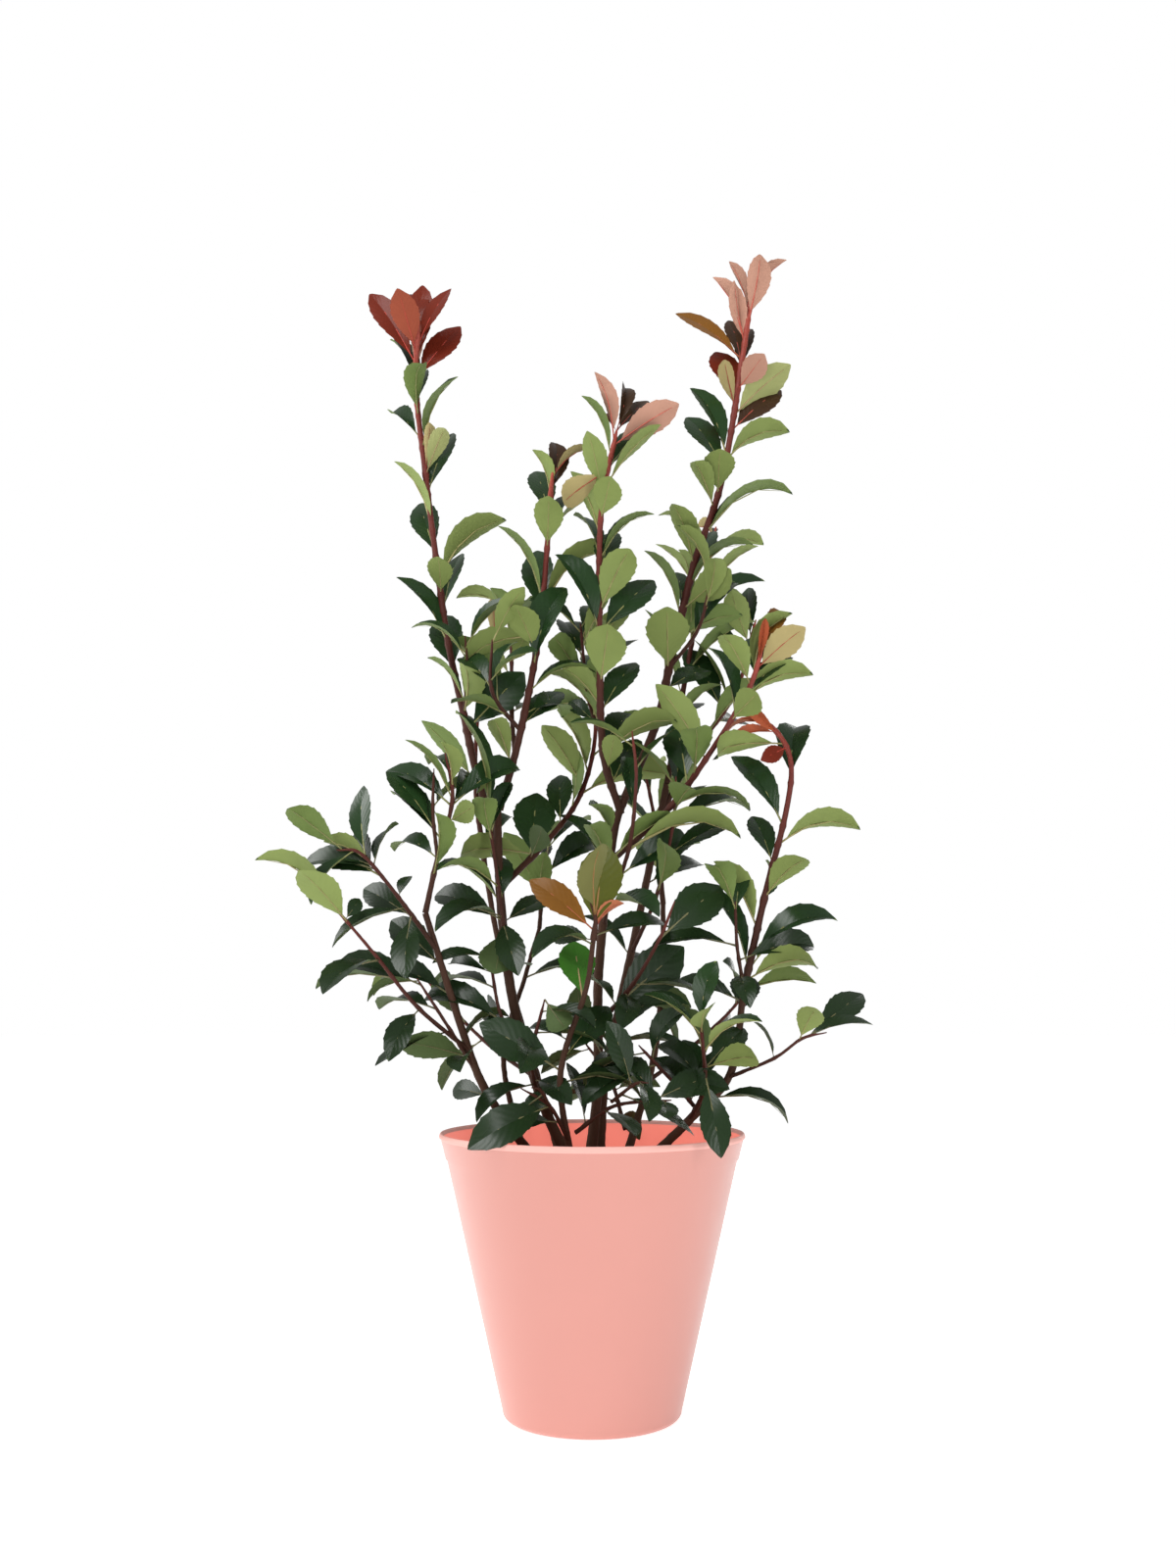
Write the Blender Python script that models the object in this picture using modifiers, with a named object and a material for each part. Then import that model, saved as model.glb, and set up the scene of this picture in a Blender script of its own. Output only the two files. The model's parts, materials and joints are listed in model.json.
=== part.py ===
# A young red robin photinia shrub standing in its tapered pink planter.
# Metres, +Z up. The origin is the centre of the planter's flat underside, and
# the side that the photograph shows faces -Y.
#
# The planter and its soil are turned shapes. Every stem and bough is one
# tapering limb that follows a smooth path, and every mass of foliage is an
# uneven loft round the stretch of shoot that its leaves grow from.

import math
import random

import bmesh
import bpy
from mathutils import Vector

# The planter, measured outside
RIM_RADIUS = 0.150
BASE_RADIUS = 0.086
PLANTER_HEIGHT = 0.266
WALL = 0.003
FLOOR = 0.004
BASE_ROUNDING = 0.007
BAND_HEIGHT = 0.024
BAND_STEP = 0.0008
LIP_HEIGHT = 0.004
LIP_BULGE = 0.0014
TURN_STEPS = 40
ARC_STEPS = 4

# The soil in it
SOIL_LEVEL = 0.228

# Clearance between pieces that touch, what a cutter is wider by so that this
# clearance is left on faceted limbs and masses, and what it is longer by
GAP = 0.0003
LIMB_CUT_GAP = 0.0004
MASS_CUT_GAP = 0.00045
END_GAP = 0.00015

# How finely the plant is cut into facets
LIMB_RESOLUTION = 2
LIMB_STEP = 0.030
SHORTEST_STEP = 0.006
WELD = 0.00002
MASS_SIDES = 8
MASS_STEP = 0.026

# A mass's radius at its ends as a share of its widest, how full it is between
# them, where it is widest, how high its lobes stand, and its unevenness
END_BULK = 0.30
FULLNESS = 0.7
WIDEST_AT = (0.45, 0.60)
LOBES = (0.06, 0.14)
UNEVEN = 0.05

# How much of its taper a bough has lost where its foliage begins
BOUGH_TAPER = 0.6

# The swelling of a stem's foot where it leaves the soil
FLARE_HEIGHT = 0.014
FLARE_GAIN = 0.7

# Stems that rise from the soil: the points they pass through from the soil
# up, then the radius at the foot and at the top
STEMS = {
    "stem_left": (
        [(-0.018, -0.010, 0.0), (-0.044, -0.018, 0.285), (-0.076, -0.020, 0.385),
         (-0.091, -0.010, 0.490), (-0.097, 0.000, 0.600)], 0.0068, 0.0046),
    "stem_middle": (
        [(-0.002, 0.018, 0.0), (0.006, 0.020, 0.316), (0.007, 0.025, 0.424),
         (0.022, 0.030, 0.560), (0.034, 0.030, 0.601)], 0.0062, 0.0044),
    "stem_right": (
        [(0.008, 0.048, 0.0), (0.014, 0.044, 0.325), (0.026, 0.046, 0.378),
         (0.050, 0.055, 0.484), (0.080, 0.070, 0.621)], 0.0056, 0.0038),
    "stem_low_right": (
        [(0.052, 0.002, 0.0), (0.103, -0.005, 0.285), (0.137, -0.010, 0.325),
         (0.150, -0.015, 0.405)], 0.0056, 0.0036),
    "stem_low_left": (
        [(-0.050, -0.014, 0.0), (-0.072, -0.020, 0.262), (-0.106, -0.030, 0.313),
         (-0.130, -0.040, 0.378), (-0.162, -0.050, 0.478)], 0.0056, 0.0034),
    "stem_front": (
        [(-0.018, -0.046, 0.0), (-0.030, -0.070, 0.324), (-0.006, -0.090, 0.404),
         (0.001, -0.095, 0.450)], 0.0040, 0.0026),
    "stem_thin_left": (
        [(-0.066, 0.028, 0.0), (-0.090, 0.042, 0.335), (-0.070, 0.070, 0.417),
         (-0.056, 0.098, 0.470)], 0.0036, 0.0024),
    "stem_back_left": (
        [(-0.032, 0.060, 0.0), (-0.066, 0.106, 0.340), (-0.100, 0.130, 0.450),
         (-0.118, 0.142, 0.540)], 0.0048, 0.0032),
    "stem_back_right": (
        [(0.036, 0.074, 0.0), (0.066, 0.122, 0.330), (0.078, 0.152, 0.420),
         (0.080, 0.170, 0.500)], 0.0048, 0.0032),
}

# Shoots: the limb that each grows from (none where it carries on from the top
# of a stem), the points that it passes through, its radius at the foot and at
# the tip, the length that is bare bough, and then its masses of foliage, each
# with the share of the leafy length where it ends and its widest radius
SHOOTS = {
    "left_tall": (
        ["stem_left"],
        [(-0.096, 0.000, 0.552), (-0.118, 0.010, 0.623), (-0.133, 0.020, 0.687),
         (-0.154, 0.030, 0.783), (-0.180, 0.045, 0.960), (-0.192, 0.050, 1.060),
         (-0.192, 0.050, 1.175)], 0.0036, 0.0018, 0.125,
        [("spray", 0.72, 0.042), ("tip", 1.0, 0.056)]),
    "centre_left": (
        ["stem_left"],
        [(-0.094, 0.000, 0.585), (-0.073, -0.010, 0.662), (-0.056, -0.015, 0.772),
         (-0.042, -0.020, 0.916), (-0.038, -0.020, 0.972)], 0.0036, 0.0018, 0.085,
        [("lower", 0.50, 0.058), ("upper", 1.0, 0.056)]),
    "back_of_left": (
        ["bough_centre_left"],
        [(-0.078, -0.006, 0.640), (-0.086, 0.028, 0.690), (-0.090, 0.060, 0.763),
         (-0.108, 0.085, 0.850)], 0.0022, 0.0014, 0.060,
        [("spray", 1.0, 0.046)]),
    "left_cross": (
        ["stem_left"],
        [(-0.092, -0.008, 0.505), (-0.045, 0.040, 0.559), (-0.012, 0.082, 0.612),
         (0.006, 0.104, 0.680), (-0.004, 0.116, 0.800)], 0.0032, 0.0018, 0.130,
        [("spray", 1.0, 0.052)]),
    "right_tall": (
        ["stem_middle"],
        [(0.034, 0.030, 0.601), (0.065, 0.035, 0.673), (0.082, 0.040, 0.741),
         (0.109, 0.045, 0.849), (0.139, 0.050, 0.941), (0.166, 0.055, 1.087),
         (0.182, 0.054, 1.200)], 0.0038, 0.0018, 0.120,
        [("lower", 0.36, 0.056), ("upper", 0.68, 0.054), ("tip", 1.0, 0.060)]),
    "centre": (
        ["stem_middle", "bough_right_tall"],
        [(0.030, 0.030, 0.585), (0.012, 0.008, 0.643), (0.007, -0.020, 0.729),
         (0.008, -0.040, 0.878), (0.028, -0.050, 1.010)], 0.0034, 0.0018, 0.080,
        [("lower", 0.50, 0.054), ("upper", 1.0, 0.052)]),
    "right_cross": (
        ["stem_middle"],
        [(0.019, 0.029, 0.535), (0.076, -0.010, 0.583), (0.114, -0.040, 0.633),
         (0.153, -0.060, 0.695), (0.172, -0.070, 0.785)], 0.0034, 0.0018, 0.105,
        [("spray", 1.0, 0.054)]),
    "back_tall": (
        ["stem_right"],
        [(0.080, 0.070, 0.621), (0.092, 0.100, 0.690), (0.108, 0.126, 0.770),
         (0.128, 0.146, 0.860), (0.146, 0.158, 0.975)], 0.0034, 0.0018, 0.090,
        [("spray", 1.0, 0.050)]),
    "right_back": (
        ["stem_right"],
        [(0.074, 0.066, 0.590), (0.112, 0.090, 0.660), (0.160, 0.116, 0.730),
         (0.190, 0.128, 0.850)], 0.0028, 0.0016, 0.090,
        [("spray", 1.0, 0.050)]),
    "arching": (
        [],
        [(0.150, -0.015, 0.405), (0.172, -0.020, 0.498), (0.194, -0.020, 0.580),
         (0.200, -0.020, 0.630), (0.186, -0.020, 0.676), (0.152, -0.020, 0.692)],
        0.0, 0.0, 0.0,
        [("spray", 0.66, 0.058), ("tip", 1.0, 0.036)]),
    "far_right": (
        ["stem_low_right"],
        [(0.132, -0.009, 0.318), (0.174, -0.040, 0.338), (0.200, -0.060, 0.358),
         (0.262, -0.082, 0.372)], 0.0020, 0.0014, 0.085,
        [("spray", 1.0, 0.032)]),
    "low_right": (
        ["stem_low_right"],
        [(0.096, -0.004, 0.278), (0.108, -0.040, 0.310), (0.104, -0.090, 0.352),
         (0.098, -0.125, 0.400)], 0.0026, 0.0016, 0.040,
        [("spray", 1.0, 0.046)]),
    "low_left_inner": (
        [],
        [(-0.162, -0.050, 0.478), (-0.150, -0.058, 0.530), (-0.134, -0.066, 0.592),
         (-0.142, -0.066, 0.672)], 0.0, 0.0, 0.0,
        [("spray", 1.0, 0.056)]),
    "low_left_outer": (
        ["stem_low_left"],
        [(-0.151, -0.047, 0.443), (-0.188, -0.080, 0.495), (-0.216, -0.100, 0.530),
         (-0.262, -0.116, 0.562)], 0.0024, 0.0016, 0.050,
        [("spray", 1.0, 0.042)]),
    "far_left": (
        ["stem_low_left"],
        [(-0.118, -0.036, 0.345), (-0.164, -0.070, 0.385), (-0.202, -0.100, 0.433),
         (-0.250, -0.128, 0.486), (-0.302, -0.148, 0.520)], 0.0024, 0.0014, 0.115,
        [("spray", 1.0, 0.036)]),
    "front": (
        [],
        [(0.001, -0.095, 0.450), (0.003, -0.098, 0.480), (0.008, -0.102, 0.552)],
        0.0, 0.0, 0.0,
        [("rosette", 1.0, 0.058)]),
    "thin_left": (
        [],
        [(-0.056, 0.098, 0.470), (-0.046, 0.118, 0.525), (-0.044, 0.126, 0.590)],
        0.0, 0.0, 0.0,
        [("spray", 1.0, 0.046)]),
    "back_left": (
        [],
        [(-0.118, 0.142, 0.540), (-0.126, 0.150, 0.640), (-0.120, 0.156, 0.740),
         (-0.106, 0.160, 0.830)], 0.0, 0.0, 0.0,
        [("spray", 1.0, 0.056)]),
    "back_right": (
        [],
        [(0.080, 0.170, 0.500), (0.078, 0.184, 0.600), (0.062, 0.190, 0.700)],
        0.0, 0.0, 0.0,
        [("spray", 1.0, 0.058)]),
    "back_low": (
        ["stem_back_left"],
        [(-0.058, 0.096, 0.312), (-0.108, 0.138, 0.342), (-0.160, 0.160, 0.390),
         (-0.206, 0.166, 0.450)], 0.0024, 0.0016, 0.070,
        [("spray", 1.0, 0.046)]),
    "back_side": (
        ["stem_back_right"],
        [(0.060, 0.114, 0.308), (0.110, 0.146, 0.345), (0.160, 0.158, 0.400),
         (0.196, 0.152, 0.470)], 0.0024, 0.0016, 0.070,
        [("spray", 1.0, 0.046)]),
}

# Masses that close round the stems low down: the points of the middle line
# and the widest radius
LOW_MASSES = {
    "mass_left_stem_foliage": (
        [(-0.070, -0.034, 0.330), (-0.090, -0.030, 0.400), (-0.100, -0.020, 0.475)], 0.050),
    "mass_middle_stem_foliage": (
        [(0.014, -0.016, 0.480), (0.020, 0.010, 0.545), (0.016, 0.020, 0.600)], 0.046),
    "mass_front_right_foliage": (
        [(0.010, 0.010, 0.374), (0.052, -0.056, 0.430), (0.084, -0.090, 0.520)], 0.048),
    "mass_front_left_foot": (
        [(-0.018, -0.070, 0.306), (-0.062, -0.104, 0.312), (-0.112, -0.146, 0.304)], 0.034),
    "mass_front_right_foot": (
        [(-0.024, -0.066, 0.312), (0.040, -0.084, 0.310), (0.110, -0.120, 0.306)], 0.034),
    "mass_low_left_foliage": (
        [(-0.128, -0.050, 0.350), (-0.158, -0.060, 0.405), (-0.182, -0.060, 0.440)], 0.044),
    "mass_back_foliage": (
        [(0.020, 0.070, 0.330), (0.030, 0.086, 0.410), (0.038, 0.096, 0.510)], 0.048),
}

# Colours, roughness
FINISHES = {
    "planter": ((0.87, 0.43, 0.38, 1.0), 0.38),
    "soil": ((0.05, 0.032, 0.02, 1.0), 0.95),
    "bark": ((0.10, 0.045, 0.032, 1.0), 0.8),
    "foliage": ((0.03, 0.085, 0.035, 1.0), 0.5),
    "young_foliage": ((0.34, 0.07, 0.035, 1.0), 0.45),
}
YOUNG_MASSES = ("mass_left_tall_tip", "mass_right_tall_tip", "mass_arching_tip")


def new_material(name):
    colour, roughness = FINISHES[name]
    material = bpy.data.materials.new(name)
    material.use_nodes = True
    shader = material.node_tree.nodes["Principled BSDF"]
    shader.inputs["Base Color"].default_value = colour
    shader.inputs["Roughness"].default_value = roughness
    shader.inputs["Metallic"].default_value = 0.0
    return material


def smooth_path(points, step):
    """Points every few centimetres along a smooth curve through the given points."""
    anchors = [Vector(p) for p in points]
    first = anchors[0] * 2 - anchors[1]
    last = anchors[-1] * 2 - anchors[-2]
    padded = [first] + anchors + [last]
    fine = []
    for i in range(1, len(padded) - 2):
        a, b, c, d = padded[i - 1:i + 3]
        count = max(2, round((c - b).length / step))
        for k in range(count):
            t = k / count
            fine.append(0.5 * (2 * b + (c - a) * t + (2 * a - 5 * b + 4 * c - d) * t ** 2
                               + (3 * b - a - 3 * c + d) * t ** 3))
    fine.append(anchors[-1])
    return fine


def path_length(path):
    return sum((b - a).length for a, b in zip(path, path[1:]))


def cut_path(path, start, end):
    """The stretch of a path between two lengths measured along it."""
    travelled = 0.0
    stretch = []
    for a, b in zip(path, path[1:]):
        span = (b - a).length
        if travelled + span > start and travelled < end:
            if not stretch:
                stretch.append(a.lerp(b, max(0.0, (start - travelled) / span)))
            stretch.append(a.lerp(b, min(1.0, (end - travelled) / span)))
        travelled += span
    merged = stretch[:1]
    for point in stretch[1:]:
        if (point - merged[-1]).length > SHORTEST_STEP or point is stretch[-1]:
            merged.append(point)
    return merged


def along(path, index):
    """The direction of a path at one of its points."""
    before = path[max(0, index - 1)]
    after = path[min(len(path) - 1, index + 1)]
    return (after - before).normalized()


def turned(name, profile, collection):
    """A solid of revolution. The profile runs down its outer side."""
    mesh = bpy.data.meshes.new(name)
    edges = [(i, i + 1) for i in range(len(profile) - 1)]
    mesh.from_pydata([(r, 0.0, z) for r, z in profile], edges, [])
    piece = bpy.data.objects.new(name, mesh)
    collection.objects.link(piece)
    screw = piece.modifiers.new("turn", "SCREW")
    screw.steps = TURN_STEPS
    screw.render_steps = TURN_STEPS
    screw.use_merge_vertices = True
    screw.merge_threshold = WELD
    return piece


def wall_radius(height):
    """The planter's outer radius at a height above the floor."""
    return BASE_RADIUS + (RIM_RADIUS - LIP_BULGE - BASE_RADIUS) * height / PLANTER_HEIGHT


def planter_profile():
    """The wall's section from the middle of the inside floor to the underside."""
    band_z = PLANTER_HEIGHT - BAND_HEIGHT
    lip_z = PLANTER_HEIGHT - LIP_HEIGHT
    profile = [
        (0.0, FLOOR),
        (wall_radius(FLOOR) - WALL, FLOOR),
        (wall_radius(lip_z - LIP_HEIGHT) - WALL, lip_z - LIP_HEIGHT),
    ]
    lip_middle = RIM_RADIUS - (WALL + LIP_BULGE) / 2
    for k in range(ARC_STEPS + 1):
        turn = math.pi * k / ARC_STEPS
        profile.append((lip_middle - (WALL + LIP_BULGE) / 2 * math.cos(turn),
                        lip_z + LIP_HEIGHT * math.sin(turn)))
    profile += [
        (wall_radius(lip_z), lip_z - LIP_HEIGHT / 2),
        (wall_radius(band_z), band_z),
        (wall_radius(band_z) - BAND_STEP, band_z - BAND_STEP),
    ]
    rounding_middle = BASE_RADIUS - BAND_STEP - BASE_ROUNDING
    for k in range(ARC_STEPS + 1):
        turn = math.pi / 2 * k / ARC_STEPS
        profile.append((rounding_middle + BASE_ROUNDING * math.cos(turn),
                        BASE_ROUNDING - BASE_ROUNDING * math.sin(turn)))
    profile.append((0.0, 0.0))
    return profile


def soil_profile():
    """The soil fills the planter up to its level, just clear of the wall."""
    floor = FLOOR + GAP
    return [
        (0.0, SOIL_LEVEL),
        (wall_radius(SOIL_LEVEL) - WALL - GAP, SOIL_LEVEL),
        (wall_radius(floor) - WALL - GAP, floor),
        (0.0, floor),
    ]


def limb(name, path, radii, collection):
    """A tapering round limb along a path, as a mesh with welded caps."""
    curve = bpy.data.curves.new(name, "CURVE")
    curve.dimensions = "3D"
    curve.bevel_depth = 1.0
    curve.bevel_resolution = LIMB_RESOLUTION
    curve.use_fill_caps = True
    spline = curve.splines.new("POLY")
    spline.points.add(len(path) - 1)
    for point, place, radius in zip(spline.points, path, radii):
        point.co = (place.x, place.y, place.z, 1.0)
        point.radius = radius
    guide = bpy.data.objects.new(name, curve)
    collection.objects.link(guide)
    depsgraph = bpy.context.evaluated_depsgraph_get()
    mesh = bpy.data.meshes.new_from_object(guide.evaluated_get(depsgraph))
    bpy.data.objects.remove(guide)
    bpy.data.curves.remove(curve)
    welded = bmesh.new()
    welded.from_mesh(mesh)
    bmesh.ops.remove_doubles(welded, verts=welded.verts, dist=WELD)
    bmesh.ops.recalc_face_normals(welded, faces=welded.faces)
    welded.to_mesh(mesh)
    welded.free()
    mesh.name = name
    piece = bpy.data.objects.new(name, mesh)
    collection.objects.link(piece)
    return piece


def taper(path, foot, tip, flare=False):
    """The limb's radius at each point of its path."""
    total = path_length(path)
    travelled = 0.0
    radii = []
    for i, point in enumerate(path):
        if i:
            travelled += (point - path[i - 1]).length
        radius = foot + (tip - foot) * travelled / total
        if flare:
            radius *= 1 + FLARE_GAIN * math.exp(-travelled / FLARE_HEIGHT)
        radii.append(radius)
    return radii


def sleeve(name, path, radii):
    """A copy of a limb that is wider by the gap, to cut its neighbours with."""
    longer = list(path)
    longer[0] = path[0] - along(path, 0) * END_GAP
    longer[-1] = path[-1] + along(path, len(path) - 1) * END_GAP
    return limb(name + "_sleeve", longer, [r + LIMB_CUT_GAP for r in radii], cutters)


def frame_across(direction):
    """Two unit vectors square to a direction."""
    side = direction.cross(Vector((0.0, 1.0, 0.0)))
    if side.length < 0.1:
        side = direction.cross(Vector((1.0, 0.0, 0.0)))
    side.normalize()
    return side, direction.cross(side).normalized()


def mass(name, path, girth, seed, grow, collection):
    """An uneven lofted solid round a path, thickest past its middle."""
    rule = random.Random(seed)
    lobes = [(rule.uniform(*LOBES), rule.uniform(0, math.tau)) for _ in range(2)]
    widest = rule.uniform(*WIDEST_AT)
    build = bmesh.new()
    rings = []
    last = len(path) - 1
    for i, centre in enumerate(path):
        t = i / last
        bulk = math.sin(math.pi * t ** (math.log(0.5) / math.log(widest)))
        thickness = girth * (END_BULK + (1 - END_BULK) * max(0.0, bulk) ** FULLNESS)
        side, up = frame_across(along(path, i))
        ring = []
        for k in range(MASS_SIDES):
            turn = math.tau * k / MASS_SIDES
            wave = lobes[0][0] * math.sin(2 * turn + lobes[0][1] + 1.5 * t)
            wave += lobes[1][0] * math.sin(3 * turn + lobes[1][1] - 2.0 * t)
            wave += rule.uniform(-UNEVEN, UNEVEN)
            reach = thickness * (1 + wave) + grow
            outward = side * math.cos(turn) + up * math.sin(turn)
            ring.append(build.verts.new(centre + reach * outward))
        rings.append(ring)
    for low, high in zip(rings, rings[1:]):
        for k in range(MASS_SIDES):
            n = (k + 1) % MASS_SIDES
            build.faces.new((low[k], low[n], high[n], high[k]))
    build.faces.new(rings[0][::-1])
    build.faces.new(rings[-1])
    bmesh.ops.recalc_face_normals(build, faces=build.faces)
    bmesh.ops.triangulate(build, faces=build.faces)
    mesh = bpy.data.meshes.new(name)
    build.to_mesh(mesh)
    build.free()
    piece = bpy.data.objects.new(name, mesh)
    collection.objects.link(piece)
    return piece


def box_of(piece):
    corners = [v.co for v in piece.data.vertices]
    low = Vector([min(c[i] for c in corners) for i in range(3)])
    high = Vector([max(c[i] for c in corners) for i in range(3)])
    return low, high


def apply_modifiers(piece):
    """Turn a piece into the plain mesh that its modifiers give."""
    depsgraph = bpy.context.evaluated_depsgraph_get()
    mesh = bpy.data.meshes.new_from_object(piece.evaluated_get(depsgraph))
    piece.modifiers.clear()
    piece.data = mesh


def boxes_meet(a, b):
    low_a, high_a = box_of(a)
    low_b, high_b = box_of(b)
    return all(low_a[i] <= high_b[i] and low_b[i] <= high_a[i] for i in range(3))


def carve(piece, tools):
    """Cut a piece by each tool whose box it meets, and keep its largest body."""
    used = [tool for tool in tools if boxes_meet(piece, tool)]
    if not used:
        return
    for tool in used:
        cut = piece.modifiers.new(tool.name, "BOOLEAN")
        cut.operation = "DIFFERENCE"
        cut.solver = "EXACT"
        cut.object = tool
    apply_modifiers(piece)
    keep_largest_body(piece.data)


def keep_largest_body(mesh):
    """Drop the crumbs that a cut leaves beside the main body."""
    shape = bmesh.new()
    shape.from_mesh(mesh)
    bmesh.ops.remove_doubles(shape, verts=shape.verts, dist=WELD)
    bodies = []
    seen = set()
    for seed_face in shape.faces:
        if seed_face in seen:
            continue
        body = [seed_face]
        seen.add(seed_face)
        for face in body:
            for edge in face.edges:
                for near in edge.link_faces:
                    if near not in seen:
                        seen.add(near)
                        body.append(near)
        bodies.append(body)
    bodies.sort(key=lambda body: sum(face.calc_area() for face in body))
    crumbs = [face for body in bodies[:-1] for face in body]
    bmesh.ops.delete(shape, geom=crumbs, context="FACES")
    bmesh.ops.triangulate(shape, faces=shape.faces)
    shape.to_mesh(mesh)
    shape.free()


def finish(piece, finish_name):
    """Give a piece its own material, named for it."""
    material = new_material(finish_name)
    material.name = piece.name
    piece.data.materials.clear()
    piece.data.materials.append(material)


for leftover in list(bpy.data.objects):
    bpy.data.objects.remove(leftover, do_unlink=True)

parts = bpy.data.collections.new("photinia_red_robin")
cutters = bpy.data.collections.new("cutters")
bpy.context.scene.collection.children.link(parts)
bpy.context.scene.collection.children.link(cutters)

# The planter and the soil that it holds
planter = turned("planter", planter_profile(), parts)
finish(planter, "planter")
soil = turned("soil", soil_profile(), parts)
finish(soil, "soil")

# The stems, from a flat cut on the soil to their fork or tip
limb_sleeves = {}
for name, (points, foot, top) in STEMS.items():
    ground = SOIL_LEVEL + GAP
    x, y, _ = points[0]
    rise = [(x, y, ground + FLARE_HEIGHT / 2)] + points[1:]
    path = [Vector((x, y, ground))] + smooth_path(rise, LIMB_STEP)
    radii = taper(path, foot, top, flare=True)
    limb(name, path, radii, parts)
    limb_sleeves[name] = sleeve(name, path, radii)

# The boughs, each cut to sit against the limb that it grows from, and the
# foliage that begins where each bough ends
foliage = []
for name, (parents, points, foot, tip, bare, sprays) in SHOOTS.items():
    path = smooth_path(points, LIMB_STEP)
    if parents:
        wood = cut_path(path, 0.0, bare)
        radii = taper(wood, foot, foot + (tip - foot) * BOUGH_TAPER)
        bough = limb("bough_" + name, wood, radii, parts)
        carve(bough, [limb_sleeves[parent] for parent in parents])
        limb_sleeves["bough_" + name] = sleeve("bough_" + name, wood, radii)
    leafy = path_length(path) - bare
    start = bare
    for label, share, girth in sprays:
        end = bare + leafy * share
        stretch = cut_path(path, start + GAP, end)
        foliage.append(("mass_" + name + "_" + label, stretch, girth))
        start = end
for name, (points, girth) in LOW_MASSES.items():
    foliage.append((name, smooth_path(points, MASS_STEP), girth))

# Each mass is cut round the limbs that it meets and the masses before it
mass_sleeves = []
for seed, (name, path, girth) in enumerate(foliage):
    piece = mass(name, path, girth, seed, 0.0, parts)
    carve(piece, list(limb_sleeves.values()) + mass_sleeves)
    longer = list(path)
    longer[0] = path[0] - along(path, 0) * END_GAP
    longer[-1] = path[-1] + along(path, len(path) - 1) * END_GAP
    mass_sleeves.append(mass(name + "_sleeve", longer, girth, seed, MASS_CUT_GAP, cutters))

for piece in parts.objects:
    if piece.name.startswith("mass_"):
        finish(piece, "young_foliage" if piece.name in YOUNG_MASSES else "foliage")
    elif piece.name.startswith(("stem_", "bough_")):
        finish(piece, "bark")
for tool in cutters.objects:
    tool.hide_render = True
    tool.display_type = "WIRE"
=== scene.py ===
import json
import math
import random

import bmesh
import bpy
from mathutils import Matrix, Vector

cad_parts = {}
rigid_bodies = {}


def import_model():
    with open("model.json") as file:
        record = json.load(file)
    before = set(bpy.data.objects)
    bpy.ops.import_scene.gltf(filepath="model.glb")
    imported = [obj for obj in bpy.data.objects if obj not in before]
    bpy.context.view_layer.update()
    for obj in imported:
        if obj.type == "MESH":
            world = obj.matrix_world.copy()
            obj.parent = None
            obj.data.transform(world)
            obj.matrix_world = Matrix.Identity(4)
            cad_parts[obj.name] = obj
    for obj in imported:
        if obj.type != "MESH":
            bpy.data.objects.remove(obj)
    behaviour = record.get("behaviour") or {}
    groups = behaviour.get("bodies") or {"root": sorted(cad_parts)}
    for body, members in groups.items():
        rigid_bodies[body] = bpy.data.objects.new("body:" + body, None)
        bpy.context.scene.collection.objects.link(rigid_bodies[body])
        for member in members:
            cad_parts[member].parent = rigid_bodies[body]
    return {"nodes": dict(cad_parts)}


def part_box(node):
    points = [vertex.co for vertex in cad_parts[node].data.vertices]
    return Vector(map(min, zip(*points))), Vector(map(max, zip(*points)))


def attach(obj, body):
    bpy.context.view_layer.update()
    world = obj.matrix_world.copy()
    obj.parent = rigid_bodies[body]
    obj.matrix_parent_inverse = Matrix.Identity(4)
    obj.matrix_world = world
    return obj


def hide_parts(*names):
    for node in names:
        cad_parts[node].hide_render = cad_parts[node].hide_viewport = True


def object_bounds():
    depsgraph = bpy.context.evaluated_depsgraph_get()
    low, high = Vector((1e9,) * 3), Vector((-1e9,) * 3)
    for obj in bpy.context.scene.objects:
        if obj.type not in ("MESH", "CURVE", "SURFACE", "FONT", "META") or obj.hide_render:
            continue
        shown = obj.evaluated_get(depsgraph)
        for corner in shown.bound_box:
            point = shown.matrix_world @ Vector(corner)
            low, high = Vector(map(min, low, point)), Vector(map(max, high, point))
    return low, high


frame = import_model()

cad_box = [list(corner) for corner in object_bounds()]

# The studio. The shrub stands on a wide pale floor in a white room, lit by tall
# soft strips at its sides and back, a broad lamp above and a low one in front.
# The camera stands low and close and looks slightly up.
CAMERA_BACK = 1.50
CAMERA_HEIGHT = 0.400
CAMERA_SIDE = -0.004
CAMERA_PITCH = math.radians(8.03)
CAMERA_LENS = 34.2
FILM_WIDTH = 36.0
WHITE = (1.0, 1.0, 1.0)
ROOM_LIGHT = 0.42
LAMP_AIM = Vector((0.0, 0.0, 0.50))
FLOOR_RADIUS = 14.0
FLOOR_GREY = (0.90, 0.90, 0.90)
FLOOR_GLOW = 0.64
FLOOR_ROUGHNESS = 0.7
FLOOR_PATCHES = 0.1

# Lamps: the turn from the camera's side in degrees, distance, height, width,
# length and power
LAMPS = {
    "strip_left": (-104, 1.8, 0.95, 0.70, 1.7, 18.0),
    "strip_right": (45, 1.9, 0.60, 0.16, 1.6, 10.0),
    "strip_back": (150, 2.0, 0.95, 0.30, 1.7, 5.0),
    "lamp_above": (-35, 1.4, 2.40, 1.10, 1.1, 36.0),
    "lamp_low": (-15, 2.3, 0.45, 1.00, 0.8, 10.0),
}
scene = bpy.context.scene
scene.view_settings.view_transform = "Standard"

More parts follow.
